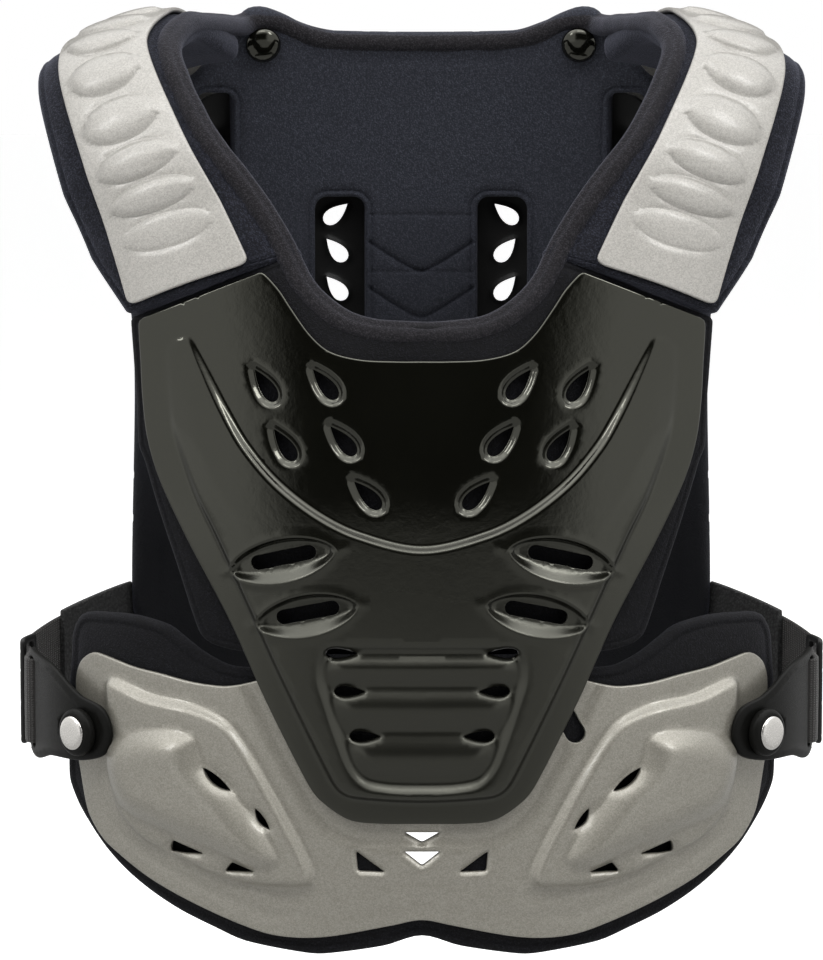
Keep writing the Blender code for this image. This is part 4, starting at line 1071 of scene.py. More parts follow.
back = {
    "half": 0.152,
    "top": 0.010,
    "height": 0.370,
    "wall": 0.0026,
    "step": 0.0042,
    "thick": 0.012,
    "round": 0.0050,
    "rimSeam": (0.0130, 0.0010),
    "windowRound": 0.0022,
    "windowWelt": (0.0016, 0.0034, 0.0009),  # rise, distance from the window, width
    "ventSize": (0.0160, 0.0085),
    "ventDish": (0.0016, 0.0032, 1.6),
    # plate: rise and slope of the middle, of the spine, and its cross grooves
    "middleRaise": (0.0022, 0.016, 0.007),
    "spineRaise": 0.0025,
    "spineHalf": 0.020,
    "ribDepth": 0.0018,
    "ribWidth": 0.0022,
    "ribDrops": (0.46, 0.56, 0.66, 0.76, 0.86),
    "windowCorner": 0.25,
    "outline": [
        (0.000, 0.000, 0), (0.348, -0.003, 0), (0.412, -0.012, 0), (0.489, -0.028, 0), (0.560, -0.037, 0),
        (0.620, -0.030, 0), (0.800, 0.060, 0), (1.180, 0.156, 0),
        (1.190, 0.168, 0), (1.140, 0.215, 0), (1.066, 0.284, 0),
        (1.013, 0.392, 0), (1.000, 0.514, 0), (1.013, 0.811, 0), (0.987, 0.886, 0), (0.908, 0.946, 0),
        (0.757, 0.984, 0), (0.526, 1.000, 0), (0.000, 1.000, 0),
    ],
    "plate": [
        (0.000, 0.120, 0), (0.300, 0.110, 0), (0.560, 0.080, 0), (0.740, 0.094, 0), (1.020, 0.183, 0),
        (1.040, 0.200, 0), (1.020, 0.230, 0), (0.960, 0.330, 0),
        (0.940, 0.514, 0), (0.950, 0.800, 0), (0.920, 0.870, 0),
        (0.840, 0.930, 0), (0.700, 0.962, 0), (0.500, 0.972, 0), (0.000, 0.972, 0),
    ],
    # windows: across, down to the top, width, height
    "windows": [(0.289, 0.235, 0.180, 0.205), (0.655, 0.235, 0.165, 0.180), (0.727, 0.083, 0.125, 0.110)],
    # vents of the plate: across, down, lean in degrees
    "vents": [(0.296, 0.262, 50), (0.296, 0.316, -40), (0.296, 0.372, -40),
              (0.670, 0.265, -40), (0.670, 0.330, -40), (0.740, 0.148, -35)],
    # pressed lines: level ones by their drop, and V shaped ones by the drop of ends and middle
    "levels": [0.262, 0.346],
    "chevrons": [(0.300, 0.354), (0.368, 0.422)],
    "tipRound": 0.0012,
    "levelWidth": 0.0009,
    "chevronWidth": 0.0014,
    "lineHalf": 0.195,
    "lineDepth": 0.0024,
}


def backForm(places):
    x, z = places[:, 0], places[:, 1]
    depth = profileAt(bodyForm["backProfile"], (back["top"] - z) / back["height"])
    return np.stack([x, bodyForm["backDepth"] * depth * roundDepth(x, bodyForm["backHalf"]), z], axis=1)


def backWindows():
    rings = []
    for across, down, width, height in back["windows"]:
        size = np.array([width * back["half"], height * back["height"]])
        centre = placeOf(back, across, down) - [0, size[1] / 2]
        ring = roundedBox(centre, *size, back["windowCorner"] * size[0])
        rings += [ring, mirrored(ring)]
    return rings


def chevronDrop(across, ends, tip):
    return tip - (tip - ends) * np.sqrt(across**2 + back["tipRound"]) / back["lineHalf"]


def pressedLines(places):
    # level and V shaped lines pressed into the middle of the back pad
    x = np.abs(places[:, 0]) / back["half"]
    down = (back["top"] - places[:, 1]) / back["height"]
    depth = np.zeros(len(places))
    within = easeStep((back["lineHalf"] - x) / 0.012)
    for drop in back["levels"]:
        depth += 0.35 * within * np.exp(-(((down - drop) * back["height"] / back["levelWidth"]) ** 2))
    for chevron in back["chevrons"]:
        gap = (down - chevronDrop(x, *chevron)) * back["height"]
        depth += within * np.exp(-((gap / back["chevronWidth"]) ** 2))
    return back["lineDepth"] * depth


def pressedLinePoints():
    # points along the pressed lines, so that the net carries them
    across = np.linspace(-back["lineHalf"], back["lineHalf"], 61)
    drops = [(chevronDrop(across, *chevron), back["chevronWidth"]) for chevron in back["chevrons"]]
    drops += [(np.full(61, drop), back["levelWidth"]) for drop in back["levels"]]
    return [np.stack([across * back["half"], back["top"] - drop * back["height"] + k * width], 1)
            for drop, width in drops for k in (-2, -1, 0, 1, 2)]


def makeBackPad():
    outline, windows = ringOf(back, "outline"), backWindows()
    radius, thick = back["round"], back["thick"]
    lines = edgeRings([outline], radius)
    lines += ringsBeside(windows, (-0.0004, -0.0012, -0.0022, -0.0030, -0.0038, -0.0046))
    net = fillNet(outline, windows, 0.0034, lines + pressedLinePoints())
    places = net["places"]
    outer = distanceTo(places, outline)
    fall = roundOff(outer, radius)
    face = -seamLine(outer, *back["rimSeam"]) - pressedLines(places) + 0.0002 * softWaves(places, 0.06, 9)
    rise, middle, width = back["windowWelt"]
    for ring in windows:
        reach = distanceTo(places, ring)
        face -= roundOff(reach, back["windowRound"]) + rise * np.exp(-(((reach - middle) / width) ** 2))
    # the form's own direction points in, towards the wearer
    # its cloth carries painted light at the top and painted shadow low down
    made = buildShell("backPad", backForm, net, face - fall, -thick + fall, litShadedBackCloth)
    settle(made, "dark_fabric", "back_liner", fill=0.8)


def makeBackShell():
    outline = ringOf(back, "plate")
    holes = []
    for across, down, lean in back["vents"]:
        ring = teardrop(placeOf(back, across, down), *back["ventSize"], radians(lean), 22)
        holes += [ring, mirrored(ring)]
    lines = edgeRings([outline], 0.0011)
    lines += ringsBeside(holes, (-0.0004, -0.001, -0.002, -0.003))
    net = fillNet(outline, holes, 0.0040, lines)
    places = net["places"]
    fall = roundOff(distanceTo(places, outline), 0.0011)
    inner = distanceTo(places, outline)
    rise, start, slope = back["middleRaise"]
    relief = rise * easeStep((inner - start) / slope)
    spine = easeStep((back["spineHalf"] - np.abs(places[:, 0])) / 0.006)
    relief += back["spineRaise"] * spine * easeStep((inner - 0.02) / 0.01)
    down = (back["top"] - places[:, 1]) / back["height"]
    for drop in back["ribDrops"]:
        gap = (down - drop) * back["height"]
        relief -= back["ribDepth"] * spine * np.exp(-((gap / back["ribWidth"]) ** 2))
    relief -= rimDish(places, holes, *back["ventDish"])
    form = raisedForm(backForm, -(back["thick"] + bodyForm["seat"]))
    made = buildShell("backShell", form, net, -relief - fall, -back["wall"] - relief + fall, mattBlack)
    settle(made, "matt_black", "back_plate")


makeBackPad()
makeBackShell()
print("back made")

shoulder = {
    "half": 0.165,
    "reach": 0.111,
    "rise": 0.126,
    "width": 0.060,
    "camber": 0.004,
    "wall": 0.0026,
    "edge": 0.0012,
    "step": 0.0024,
    "pitch": 0.0235,
    "bumpLength": 0.0205,
    "bumpRaise": 0.0036,
    "bumpShare": 0.80,
    "bumpLean": -6,
    "firstBump": 0.125,
    "plateSpan": (0.020, 0.985),
    "padSpan": (0.006, 0.860),
    "padCut": 0.085,
    # front to back: across, back, up, yaw, roll, plate in and out, pad in and out
    "table": [
        (0.712, -0.892, -0.925, 20, 0, -0.60, 0.50, -1.02, 0.60),
        (0.775, -0.800, -0.650, 18, 4, -0.50, 0.50, -0.83, 0.80),
        (0.855, -0.676, -0.357, 15, 8, -0.38, 0.49, -0.62, 0.82),
        (0.965, -0.360, -0.008, 8, 15, -0.36, 0.42, -0.60, 0.70),
        (0.932, 0.000, 0.119, -4, 17, -0.41, 0.42, -0.62, 0.74),
        (0.872, 0.420, 0.080, -8, 16, -0.43, 0.42, -0.68, 0.72),
        (0.850, 0.940, -0.068, -16, 12, -0.44, 0.43, -0.92, 0.72),
        (0.810, 1.024, -0.500, -22, 2, -0.48, 0.44, -1.08, 0.72),
    ],
}
shoulderPad = {"step": 0.0034, "thick": 0.015, "round": 0.0060, "seamIn": 0.0056, "seamDepth": 0.0011,
               "bandIn": 0.0105, "bandDepth": 0.0022}


def bandCentre(at):
    return np.stack([shoulder["half"] * tableValue(shoulder["table"], 0, at),
                     shoulder["reach"] * tableValue(shoulder["table"], 1, at),
                     shoulder["rise"] * tableValue(shoulder["table"], 2, at)], axis=1)


bandLength = runAlong(bandCentre(np.linspace(0, 1, 400)))[-1]


def bandForm(places):
    # top of the shoulder pad, in metres across the band and along it
    across, at = places[:, 0], places[:, 1] / bandLength
    along = unit(bandCentre(np.clip(at + 0.002, 0, 1)) - bandCentre(np.clip(at - 0.002, 0, 1)))
    yaw = np.radians(tableValue(shoulder["table"], 3, at))
    roll = np.radians(tableValue(shoulder["table"], 4, at))
    out = np.stack([np.cos(yaw) * np.cos(roll), np.sin(yaw), -np.sin(roll)], axis=1)
    out = squared(out, along)
    up = np.cross(out, along)
    drop = shoulder["camber"] * (across / (shoulder["width"] / 2)) ** 2
    return bandCentre(at) + out * across[:, None] - up * drop[:, None]


def bandOutline(first, last, cut, inner, outer, corner, step):
    # a strip along the band with round corners
    edges = []
    for column, end in ((inner, last - cut), (outer, last)):
        at = np.linspace(first, end, 60)
        edges.append(np.stack([tableValue(shoulder["table"], column, at) * shoulder["width"],
                               at * bandLength], axis=1))
    ring = np.concatenate([edges[1], edges[0][::-1]])
    return splitEdges(roundCorners(ring, corner), step)


def roundCorners(ring, radius):
    # rounds the sharp corners of a closed line
    made = []
    count = len(ring)
    for i in range(count):
        before, here, after = ring[i - 1], ring[i], ring[(i + 1) % count]
        one, two = before - here, after - here
        cosine = one @ two / (np.linalg.norm(one) * np.linalg.norm(two) + 1e-12)
        if cosine < -0.75:
            if all(np.linalg.norm(here - corner) > radius for corner in sharpOf(ring)):
                made.append(here)
            continue
        start, end = here + one / np.linalg.norm(one) * radius, here + two / np.linalg.norm(two) * radius
        for t in np.linspace(0, 1, 6):
            made.append((1 - t) ** 2 * start + 2 * t * (1 - t) * here + t**2 * end)
    return np.array(made)


def sharpOf(ring):
    before, after = np.roll(ring, 1, axis=0) - ring, np.roll(ring, -1, axis=0) - ring
    cosine = (before * after).sum(axis=1) / (np.linalg.norm(before, axis=1) * np.linalg.norm(after, axis=1) + 1e-12)
    return ring[cosine > -0.75]


def bumpSpots():
    # middle of each bump across and along, and its half width
    first = shoulder["firstBump"] * bandLength
    last = shoulder["plateSpan"][1] * bandLength - shoulder["bumpLength"] / 2
    along = np.arange(first, last, shoulder["pitch"])
    inner = tableValue(shoulder["table"], 5, along / bandLength) * shoulder["width"]
    outer = tableValue(shoulder["table"], 6, along / bandLength) * shoulder["width"]
    return [(m, a, h) for m, a, h in
            zip((inner + outer) / 2, along, (outer - inner) * shoulder["bumpShare"] / 2)]


def shoulderRelief(places):
    lift = np.zeros(len(places))
    for number, (middle, along, half) in enumerate(bumpSpots()):
        local = turned(places - [middle, along], radians(shoulder["bumpLean"]))
        u = np.abs(local[:, 0]) / half
        tall = shoulder["bumpLength"] / 2 * np.clip(1 - u**2.3, 0, 1) ** 0.62
        v = np.where(tall > 1e-6, np.abs(local[:, 1]) / np.maximum(tall, 1e-6), 9)
        dome = np.sqrt(np.clip(1 - v**2, 0, 1)) * np.clip(1 - u**2, 0, 1) ** 0.4
        ditch = np.exp(-((np.clip(v - 1, 0, 9) * tall / 0.0014) ** 2)) * (v < 9) * np.clip(1 - u**2, 0, 1)
        if number == 0:
            # the first one is open towards the front edge, with only a low ridge behind it
            lift += 0.0012 * dome - 0.0010 * ditch
        else:
            lift += shoulder["bumpRaise"] * dome - 0.0009 * ditch
    return lift


def makeShoulders():
    outline = bandOutline(*shoulder["plateSpan"], 0, 5, 6, 0.0075, 0.0024)
    lines = edgeRings([outline], shoulder["edge"])
    for middle, along, half in bumpSpots():
        u = np.linspace(-1, 1, 23)
        tall = shoulder["bumpLength"] / 2 * (1 - np.abs(u) ** 2.3) ** 0.62
        for grow in (1.0, 0.93, 1.08):
            lens = np.concatenate([np.stack([u * half, tall * grow], 1),
                                   np.stack([u[::-1] * half, -tall[::-1] * grow], 1)[1:-1]])
            lines.append(turned(lens, radians(-shoulder["bumpLean"]), (middle, along)))
    plateNet = fillNet(outline, [], shoulder["step"], lines)
    places = plateNet["places"]
    fall = roundOff(plateNet["rim"], shoulder["edge"])
    relief = shoulderRelief(places)
    plateForm = raisedForm(bandForm, bodyForm["seat"] + shoulder["wall"])
    padOutline = bandOutline(*shoulder["padSpan"], shoulder["padCut"], 7, 8, 0.006, 0.0042)

    def front(spots, rim):
        under = 0.0006 * softWaves(spots, 0.03, 12) * easeStep(rim / 0.01)
        inner = spots[:, 0] - tableValue(shoulder["table"], 7, spots[:, 1] / bandLength) * shoulder["width"]
        band = seamLine(inner, shoulderPad["bandIn"], shoulderPad["bandDepth"], 0.0016)
        return 0.0002 - seamLine(rim, shoulderPad["seamIn"], shoulderPad["seamDepth"]) - band - np.abs(under)

    for name, left in bothSides:
        low = name.lower()
        made = buildShell("shoulderShell" + name, plateForm, plateNet, relief - fall,
                          relief * 0.6 - shoulder["wall"] + fall, shoulderFleck, 1, left)
        settle(made, "metallic_grey", "shoulder_plate_" + low)
        pad = makeFoam("shoulderPad" + name, shoulderPad, bandForm, padOutline, [], front, 1, left)
        settle(pad, "dark_fabric", "shoulder_pad_" + low, fill=0.85)


makeShoulders()
print("shoulders made")

neckRoll = {
    "halfWide": 0.0066,
    "halfThick": 0.0056,
    "inset": 0.0050,
    "seam": 0.0010,
    "points": 420,
    "around": 26,
    "centre": (0, 0, -0.03),
}


def neckPath():
    # half of the opening's edge, from the middle of the chest over one shoulder to the middle of the back
    inset = neckRoll["inset"]
    chestRing = besideRing(ringOf(chestPad, "outline"), inset)
    low = chest["top"] - 0.10 * chest["height"] - inset
    front = chestRing[(chestRing[:, 0] >= 0) & (chestRing[:, 0] < 0.440 * chest["half"]) & (chestRing[:, 1] > low)]
    front = front[np.argsort(front[:, 0])]
    frontPoints = lay(chestForm, front, -(chest["wall"] + bodyForm["chestSeat"] + chestPad["thick"] * 0.40))
    at = np.linspace(0.05, 0.66, 60)
    band = np.stack([tableValue(shoulder["table"], 7, at) * shoulder["width"] + inset,
                     at * bandLength], axis=1)
    bandPoints = lay(bandForm, band, -shoulderPad["thick"] * 0.30)
    backRing = besideRing(ringOf(back, "outline"), inset)
    low = back["top"] - 0.12 * back["height"]
    rear = backRing[(backRing[:, 0] >= 0) & (backRing[:, 0] < 0.62 * back["half"]) & (backRing[:, 1] > low)]
    rear = rear[np.argsort(-rear[:, 0])]
    rearPoints = lay(backForm, rear, -back["thick"] * 0.45)
    return np.concatenate([frontPoints, bandPoints, rearPoints])


def evenLoop(points, count, smoothing):
    # a closed line at even spacing, made fair
    closed = np.concatenate([points, points[:1]])
    run = runAlong(closed)
    spots = np.linspace(0, run[-1], count, endpoint=False)
    line = np.stack([np.interp(spots, run, closed[:, k]) for k in range(3)], axis=1)
    for _ in range(smoothing):
        line = line * 0.5 + (np.roll(line, 1, axis=0) + np.roll(line, -1, axis=0)) * 0.25
    return line


def makeNeckRoll():
    right = neckPath()
    loop = np.concatenate([right, (right * [-1, 1, 1])[::-1]])
    line = evenLoop(loop, neckRoll["points"], 26)
    ahead = unit(np.roll(line, -1, axis=0) - np.roll(line, 1, axis=0))
    wide = squared(line - neckRoll["centre"], ahead)
    for _ in range(30):
        wide = squared(wide * 0.5 + (np.roll(wide, 1, axis=0) + np.roll(wide, -1, axis=0)) * 0.25, ahead)
    deep = np.cross(ahead, wide)
    around = neckRoll["around"]
    turn = np.linspace(0, 2 * pi, around, endpoint=False)
    # the seam runs round the middle of both faces
    groove = neckRoll["seam"] * (np.exp(-((np.abs(np.sin(turn)) - 1) / 0.05) ** 2))
    run = np.linspace(0, 1, len(line), endpoint=False)
    swell = 1 + 0.03 * softWaves(np.stack([np.cos(2 * pi * run), np.sin(2 * pi * run)], 1) * 0.25, 0.05, 21)
    points = (line[:, None]
              + wide[:, None] * (np.cos(turn) * neckRoll["halfWide"])[None, :, None] * swell[:, None, None]
              + deep[:, None] * (np.sin(turn) * (neckRoll["halfThick"] - groove))[None, :, None] * swell[:, None, None])
    faces = tubeFaces(len(line), around, closed=True)
    uv = np.stack(np.broadcast_arrays(run[:, None], turn[None]), axis=2).reshape(-1, 2)
    made = addMesh("neckRoll", points.reshape(-1, 3), faces, rollCloth, uv)
    settle(made, "dark_fabric", fill=0.9)


makeNeckRoll()
print("neck roll made")

side = {
    "studShare": 0.935,
    "studHeight": -0.339,
    "knob": 0.024,
    "knobHeight": 0.0055,
    "play": 0.0008,
    "post": 0.011,
    "collar": 0.003,
    "cap": 0.017,
    "capRise": 0.0016,
    "tabLength": 0.092,
    "tabHeight": 0.057,
    "tabWall": 0.0032,
    "tabLift": 0.0025,
    "tabFall": 0.60,
    "slotAt": 0.66,
    "slotWidth": 0.0085,
    "keyhole": 0.024,
    "webMiddle": 0.11,
    "webWidth": 0.044,
    "webWall": 0.0022,
    "sliderAt": 1.09,
    "sliderLift": 0.0078,
    "slider": (0.020, 0.056, 0.0045, 0.003),  # length, height, bar, wall
    "endSpan": (0.72, 0.86),
    "endHeight": 0.052,
    "endWall": 0.003,
    "tab": [
        (-0.20, 0.088, 0), (-0.14, 0.238, 0), (0.02, 0.317, 0),
        (0.24, 0.484, 0), (0.40, 0.546, 0), (0.78, 0.581, 0),
        (0.80, 0.528, 0), (0.80, -0.317, 0), (0.78, -0.370, 0), (0.58, -0.387, 0), (0.34, -0.299, 0),
        (0.02, -0.264, 0), (-0.14, -0.194, 0), (-0.20, -0.053, 0),
    ],
    # route of the webbing: along the side, outward, rise
    "route": [
        (0.740, -0.0020, 0.00), (0.690, -0.0017, 0.00), (0.660, 0.0018, 0.00),
        (0.695, 0.0052, 0.00), (0.780, 0.0055, 0.00),
        (0.900, 0.0048, 0.00), (1.010, 0.0052, 0.01), (1.085, 0.0092, 0.02),
        (1.155, 0.0128, 0.04), (1.240, 0.0130, 0.08),
        (1.420, 0.0105, 0.18), (1.700, 0.0080, 0.30), (1.960, 0.0104, 0.38),
        (2.205, 0.0156, 0.42), (2.440, 0.0226, 0.43),
    ],
}


def sideForm(places):
    # the belly form carried on round the side: metres along it from the stud, and up
    half, depth = bodyForm["bellyHalf"], bodyForm["chestDepth"] - chest["wall"] - bodyForm["bellySeat"]
    turn = np.linspace(0, pi, 721)
    line = np.stack([half * np.sin(turn), -depth * np.cos(turn)], axis=1)
    run = runAlong(line)
    stud = np.interp(np.arcsin(side["studShare"] * belly["half"] / half), turn, run)
    angle = np.interp(stud + places[:, 0], run, turn)
    return np.stack([half * np.sin(angle), -depth * np.cos(angle), side["studHeight"] + places[:, 1]], axis=1)


def tabLift(along):
    return side["tabLift"] + 0.004 * (1 - easeStep(along / (side["tabFall"] * side["tabLength"])))


def makeTabs():
    rows = [(a * side["tabLength"], b * side["tabHeight"], c) for a, b, c in side["tab"]]
    outline = closedLine(rows, 0.0018)
    middle = side["webMiddle"] * side["tabHeight"]
    webSlot = roundedBox((side["slotAt"] * side["tabLength"], middle), side["slotWidth"], side["webWidth"] + 0.002, 0.002)
    keyhole = slot((0, 0), (side["keyhole"] - side["post"], 0), side["post"] + 0.0024, 10)
    lines = edgeRings([outline, webSlot, keyhole], 0.0013)
    net = fillNet(outline, [webSlot, keyhole], 0.0020, lines)
    fall = roundOff(net["rim"], 0.0013)
    # a thin rib stands round the web slot and along the outer edge
    outer = distanceTo(net["places"], outline)
    rib = 0.0007 * np.exp(-(((outer - 0.0032) / 0.0012) ** 2))

    def form(places):
        return lay(sideForm, places, tabLift(places[:, 0]) + side["tabWall"])

    for name, left in bothSides:
        made = buildShell("strapHook" + name, form, net, rib - fall, -side["tabWall"] + fall, hookBlack, 1, left)
        settle(made, "matt_black", "strap_hook_" + name.lower())


def studAxis():
    here = np.zeros((1, 2))
    foot = sideForm(here)[0]
    return foot, lay(sideForm, here, 1.0)[0] - foot


def roundProfile(corners, steps=4):
    # a turned outline of radius and height, its corners rounded by their third number
    points = []
    for i, (r, h, soft) in enumerate(corners):
        here = np.array([r, h], float)
        if not soft or i in (0, len(corners) - 1):
            points.append(here)
            continue
        one, two = np.array(corners[i - 1][:2]) - here, np.array(corners[i + 1][:2]) - here
        start = here + one / np.linalg.norm(one) * min(soft, np.linalg.norm(one) * 0.49)
        end = here + two / np.linalg.norm(two) * min(soft, np.linalg.norm(two) * 0.49)
        for t in np.linspace(0, 1, steps + 1):
            points.append((1 - t) ** 2 * start + 2 * t * (1 - t) * here + t**2 * end)
    return points


def lathe(name, foot, axis, profile, look, left, sides=48):
    up = np.array([0, 0, 1.0])
    aside = np.cross(up, axis)
    aside /= np.linalg.norm(aside)
    up = np.cross(axis, aside)
    points = []
    for radius, height in profile:
        for k in range(sides):
            turn = 2 * pi * k / sides
            points.append(foot + axis * height + (aside * cos(turn) + up * sin(turn)) * radius)
    faces = tubeFaces(len(profile), sides)
    points = np.array(points)
    if left:
        points[:, 0] *= -1
        faces = [f[::-1] for f in faces]
    made = addMesh(name, points, faces, look)
    made.data.set_sharp_from_angle(angle=radians(50))
    return made


def makeStuds():
    foot, axis = studAxis()
    seat = tabLift(0) - side["play"]
    head = tabLift(0) + side["tabWall"] + side["play"]
    top = head + side["knobHeight"]
    post, knob, cap = side["post"] / 2, side["knob"] / 2, side["cap"] / 2
    stem = [(post + side["collar"], 0.0004, 0), (post + side["collar"], seat, 0), (post, seat, 0), (post, head, 0)]
    knobShape = stem + [(knob - 0.0006, head, 0.0004), (knob, head + 0.0008, 0.0006), (knob, top - 0.0016, 0.0012),
                        (knob - 0.0020, top, 0.0012), (cap + 0.0006, top, 0)]
    capShape = [(cap, top + 0.0002, 0), (cap, top + 0.0007, 0.0004),
                    (cap - 0.0012, top + side["capRise"], 0.0009),
                (cap * 0.5, top + side["capRise"] + 0.0001, 0), (0.0006, top + side["capRise"] + 0.0001, 0)]
    for name, left in bothSides:
        low = name.lower()
        settle(lathe("stud" + name, foot, axis, roundProfile(knobShape), hookBlack, left),
               "matt_black", "stud_" + low)
        settle(lathe("studCap" + name, foot, axis, roundProfile(capShape), brightMetal, left),
               "bright_metal", "stud_cap_" + low)


def webRoute(count):
    at = np.linspace(0, 1, count)
    along = tableValue(side["route"], 0, at) * side["tabLength"]
    out = tableValue(side["route"], 1, at) + side["tabLift"]
    rise = (tableValue(side["route"], 2, at) + side["webMiddle"]) * side["tabHeight"]
    return lay(sideForm, np.stack([along, rise], axis=1), out)


def levelOut(line):
    ahead = np.gradient(line, axis=0)
    ahead[:, 2] = 0
    ahead = unit(ahead)
    return np.stack([ahead[:, 1], -ahead[:, 0], np.zeros(len(line))], axis=1)


def flatBand(name, line, width, wall, look, left, waves=0.0):
    # a strap on edge along a line, with soft long edges
    out = levelOut(line)
    corner = wall * 0.42
    section = []
    for sy, sz in ((1, 1), (1, -1), (-1, -1), (-1, 1)):
        turns = {(1, 1): (90, 0), (1, -1): (0, -90), (-1, -1): (-90, -180), (-1, 1): (180, 90)}[(sy, sz)]
        for turn in np.radians(np.linspace(*turns, 4)):
            section.append((sy * (wall / 2 - corner) + corner * cos(turn),
                            sz * (width / 2 - corner) + corner * sin(turn)))
        if sy == sz:
            # points down the long flat side
            spots = np.linspace(1, -1, 16)[1:-1] * sz * (width / 2 - corner)
            section += [(sy * wall / 2, z) for z in spots]
    section = np.array(section)
    run = runAlong(line)
    sway = waves * np.sin(run[:, None] * 60 + section[None, :, 1] * 90)
    points = line[:, None] + out[:, None] * (section[None, :, 0] + sway)[:, :, None]
    points = points + np.array([0, 0, 1.0]) * section[None, :, 1:2]
    faces = tubeFaces(len(line), len(section))
    points = points.reshape(-1, 3)
    if left:
        points[:, 0] *= -1
        faces = [f[::-1] for f in faces]
    uv = np.stack(np.broadcast_arrays(run[:, None], section[None, :, 1]), axis=2).reshape(-1, 2)
    made = addMesh(name, points, faces, look, uv)
    made.data.set_sharp_from_angle(angle=radians(50))
    return made


def makeStraps():
    line = webRoute(150)
    first, last = (int(share * len(line)) for share in side["endSpan"])
    depth = (side["webWall"] + side["endWall"]) / 2 + 0.0003
    endLine = (line - levelOut(line) * depth)[first:last]
    length, height, bar, wall = side["slider"]
    centre = np.array((side["sliderAt"] * side["tabLength"], side["webMiddle"] * side["tabHeight"]))
    outline = roundedBox(centre, length, height, 0.003)
    opening = roundedBox(centre, length - 2 * bar, side["webWidth"] + 0.005, 0.001)
    net = fillNet(outline, [opening], 0.0020, edgeRings([outline, opening], 0.0012))
    fall = roundOff(net["rim"], 0.0012)
    form = raisedForm(sideForm, side["tabLift"] + side["sliderLift"] + wall)
    for name, left in bothSides:
        low = name.lower()
        settle(flatBand("webbing" + name, line, side["webWidth"], side["webWall"], wovenStrap, left, 0.0001),
               "webbing", "webbing_" + low)
        settle(flatBand("strapEnd" + name, endLine, side["endHeight"], side["endWall"], grainedEnd, left),
               "stitched_end", "strap_pad_" + low)
        settle(buildShell("slider" + name, form, net, -fall, -wall + fall, mattBlack, 1, left),
               "matt_black", "slider_" + low)


button = {"size": 0.019, "rise": 0.006, "seat": 0.0007, "at": (0.560, 0.012)}


def makeButtons():
    here = np.array([placeOf(back, *button["at"])])
    foot = backForm(here)[0]
    axis = lay(backForm, here, 1.0)[0] - foot
    radius, base = button["size"] / 2, button["seat"]
    shape = [(radius * cos(turn), base + 0.0012 + (button["rise"] - 0.0012) * sin(turn))
             for turn in np.radians(np.linspace(0, 88, 12))]
    shape = [(radius * 0.97, base)] + shape
    for name, left in bothSides:
        settle(lathe("button" + name, foot, axis, shape, glossBlack, left),
               "gloss_black", "snap_" + name.lower())


makeTabs()
makeStuds()
makeStraps()
makeButtons()
print("side straps and buttons made")

stage = {
    "floorHeight": -0.62,
    "floorSize": 60.0,
    "aim": (-0.0052, 0.0, -0.220),
    "climb": 6,
    "distance": 2.1,
    "lens": 151.4,
    # softboxes: place, size, power, and whether reflections show it
    "boxes": [
        ((-0.8, -1.8, 2.1), (1.8, 1.2), 31.0, False),
        ((0.9, -1.8, 2.0), (1.8, 1.2), 24.0, False),
        ((0.0, 2.2, 1.9), (3.0, 1.4), 22.0, False),
        ((-1.9, -1.2, 1.5), (0.35, 0.9), 9.0, True),
        ((1.7, -1.3, 1.7), (0.45, 0.9), 13.0, True),
        ((0.0, -1.1, 2.4), (1.4, 0.25), 8.0, True),
    ],
    "fill": 0.26,
    "floorGlow": 0.70,
    # reflected surroundings: strength, where it starts and is full, as parts of a direction
    "sideGlow": (0.92, 0.35, 0.56),
    "sideFade": (1.0, -0.26, 0.05),
    "topGlow": (2.9, 0.48, 0.95),
    "lowGlow": (0.52, 0.03, -0.12),
    "baseGlow": 0.012,
}


def placeCamera():
    camera = bpy.data.objects.new("camera", bpy.data.cameras.new("camera"))
    bpy.context.scene.collection.objects.link(camera)
    climb = radians(stage["climb"])
    away = Vector((0, -cos(climb), sin(climb)))
    camera.location = Vector(stage["aim"]) + away * stage["distance"]
    camera.rotation_euler = (-away).to_track_quat("-Z", "Y").to_euler()
    camera.data.sensor_fit = "VERTICAL"
    camera.data.sensor_height = 36
    camera.data.lens = stage["lens"]
    bpy.context.scene.camera = camera


def placeLights():
    for number, (place, size, power, shown) in enumerate(stage["boxes"]):
        data = bpy.data.lights.new("softbox%d" % number, "AREA")
        data.shape, data.size, data.size_y, data.energy = "RECTANGLE", size[0], size[1], power
        box = bpy.data.objects.new(data.name, data)
        box.location = place
        box.rotation_euler = (Vector(stage["aim"]) - Vector(place)).to_track_quat("-Z", "Y").to_euler()
        box.visible_glossy = shown
        bpy.context.scene.collection.objects.link(box)


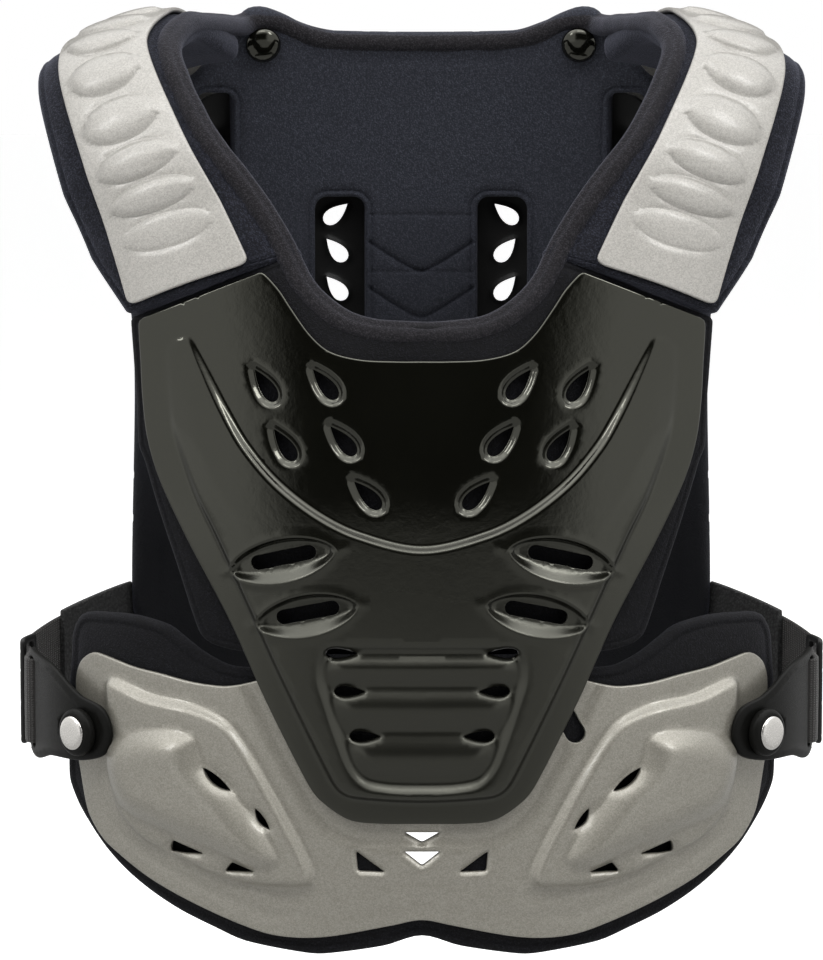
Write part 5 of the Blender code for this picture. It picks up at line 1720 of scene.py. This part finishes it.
def glowNode(tree, value, strength, start, full):
    low, high = (0, strength) if start < full else (strength, 0)
    ends = sorted((start, full))
    return rangeOf(tree, value, low, high, *ends, interpolation_type="SMOOTHSTEP")


def makeSky():
    # white behind the part, even fill on matt surfaces, and soft glows in reflections
    world = bpy.data.worlds.new("studio")
    bpy.context.scene.world = world
    world.use_nodes = True
    tree = world.node_tree
    path = tree.nodes.new("ShaderNodeLightPath")
    way = tree.nodes.new("ShaderNodeSeparateXYZ")
    tree.links.new(tree.nodes.new("ShaderNodeTexCoord").outputs["Generated"], way.inputs[0])
    aside = addNode(tree, "ShaderNodeMath", {0: way.outputs["X"]}, operation="ABSOLUTE").outputs[0]
    beside = addNode(tree, "ShaderNodeMath", {0: glowNode(tree, aside, *stage["sideGlow"]),
                                             1: glowNode(tree, way.outputs["Z"], *stage["sideFade"])}, operation="MULTIPLY")
    glow = addUp(tree, beside.outputs[0], glowNode(tree, way.outputs["Z"], *stage["topGlow"]),
                 glowNode(tree, way.outputs["Z"], *stage["lowGlow"]))
    base = addNode(tree, "ShaderNodeMath", {0: glow}, operation="ADD")
    base.inputs[1].default_value = stage["baseGlow"]
    shine = addNode(tree, "ShaderNodeMath", {0: base.outputs[0], 1: path.outputs["Is Glossy Ray"]},
                    operation="MULTIPLY")
    fill = addNode(tree, "ShaderNodeMath", {0: path.outputs["Is Diffuse Ray"]}, operation="MULTIPLY")
    fill.inputs[1].default_value = stage["fill"]
    total = addUp(tree, shine.outputs[0], fill.outputs[0], path.outputs["Is Camera Ray"])
    tree.links.new(total, tree.nodes["Background"].inputs["Strength"])
    tree.nodes["Background"].inputs["Color"].default_value = (1, 1, 1, 1)


def makeFloor():
    half, z = stage["floorSize"] / 2, stage["floorHeight"]
    floor = addMesh("floor", [(-half, -half, z), (half, -half, z), (half, half, z), (-half, half, z)],
                    [(0, 1, 2, 3)], floorLook())
    floor.visible_glossy = False


placeCamera()
placeLights()
makeSky()
makeFloor()
bpy.context.scene.view_settings.view_transform = "Standard"
print("stage made")
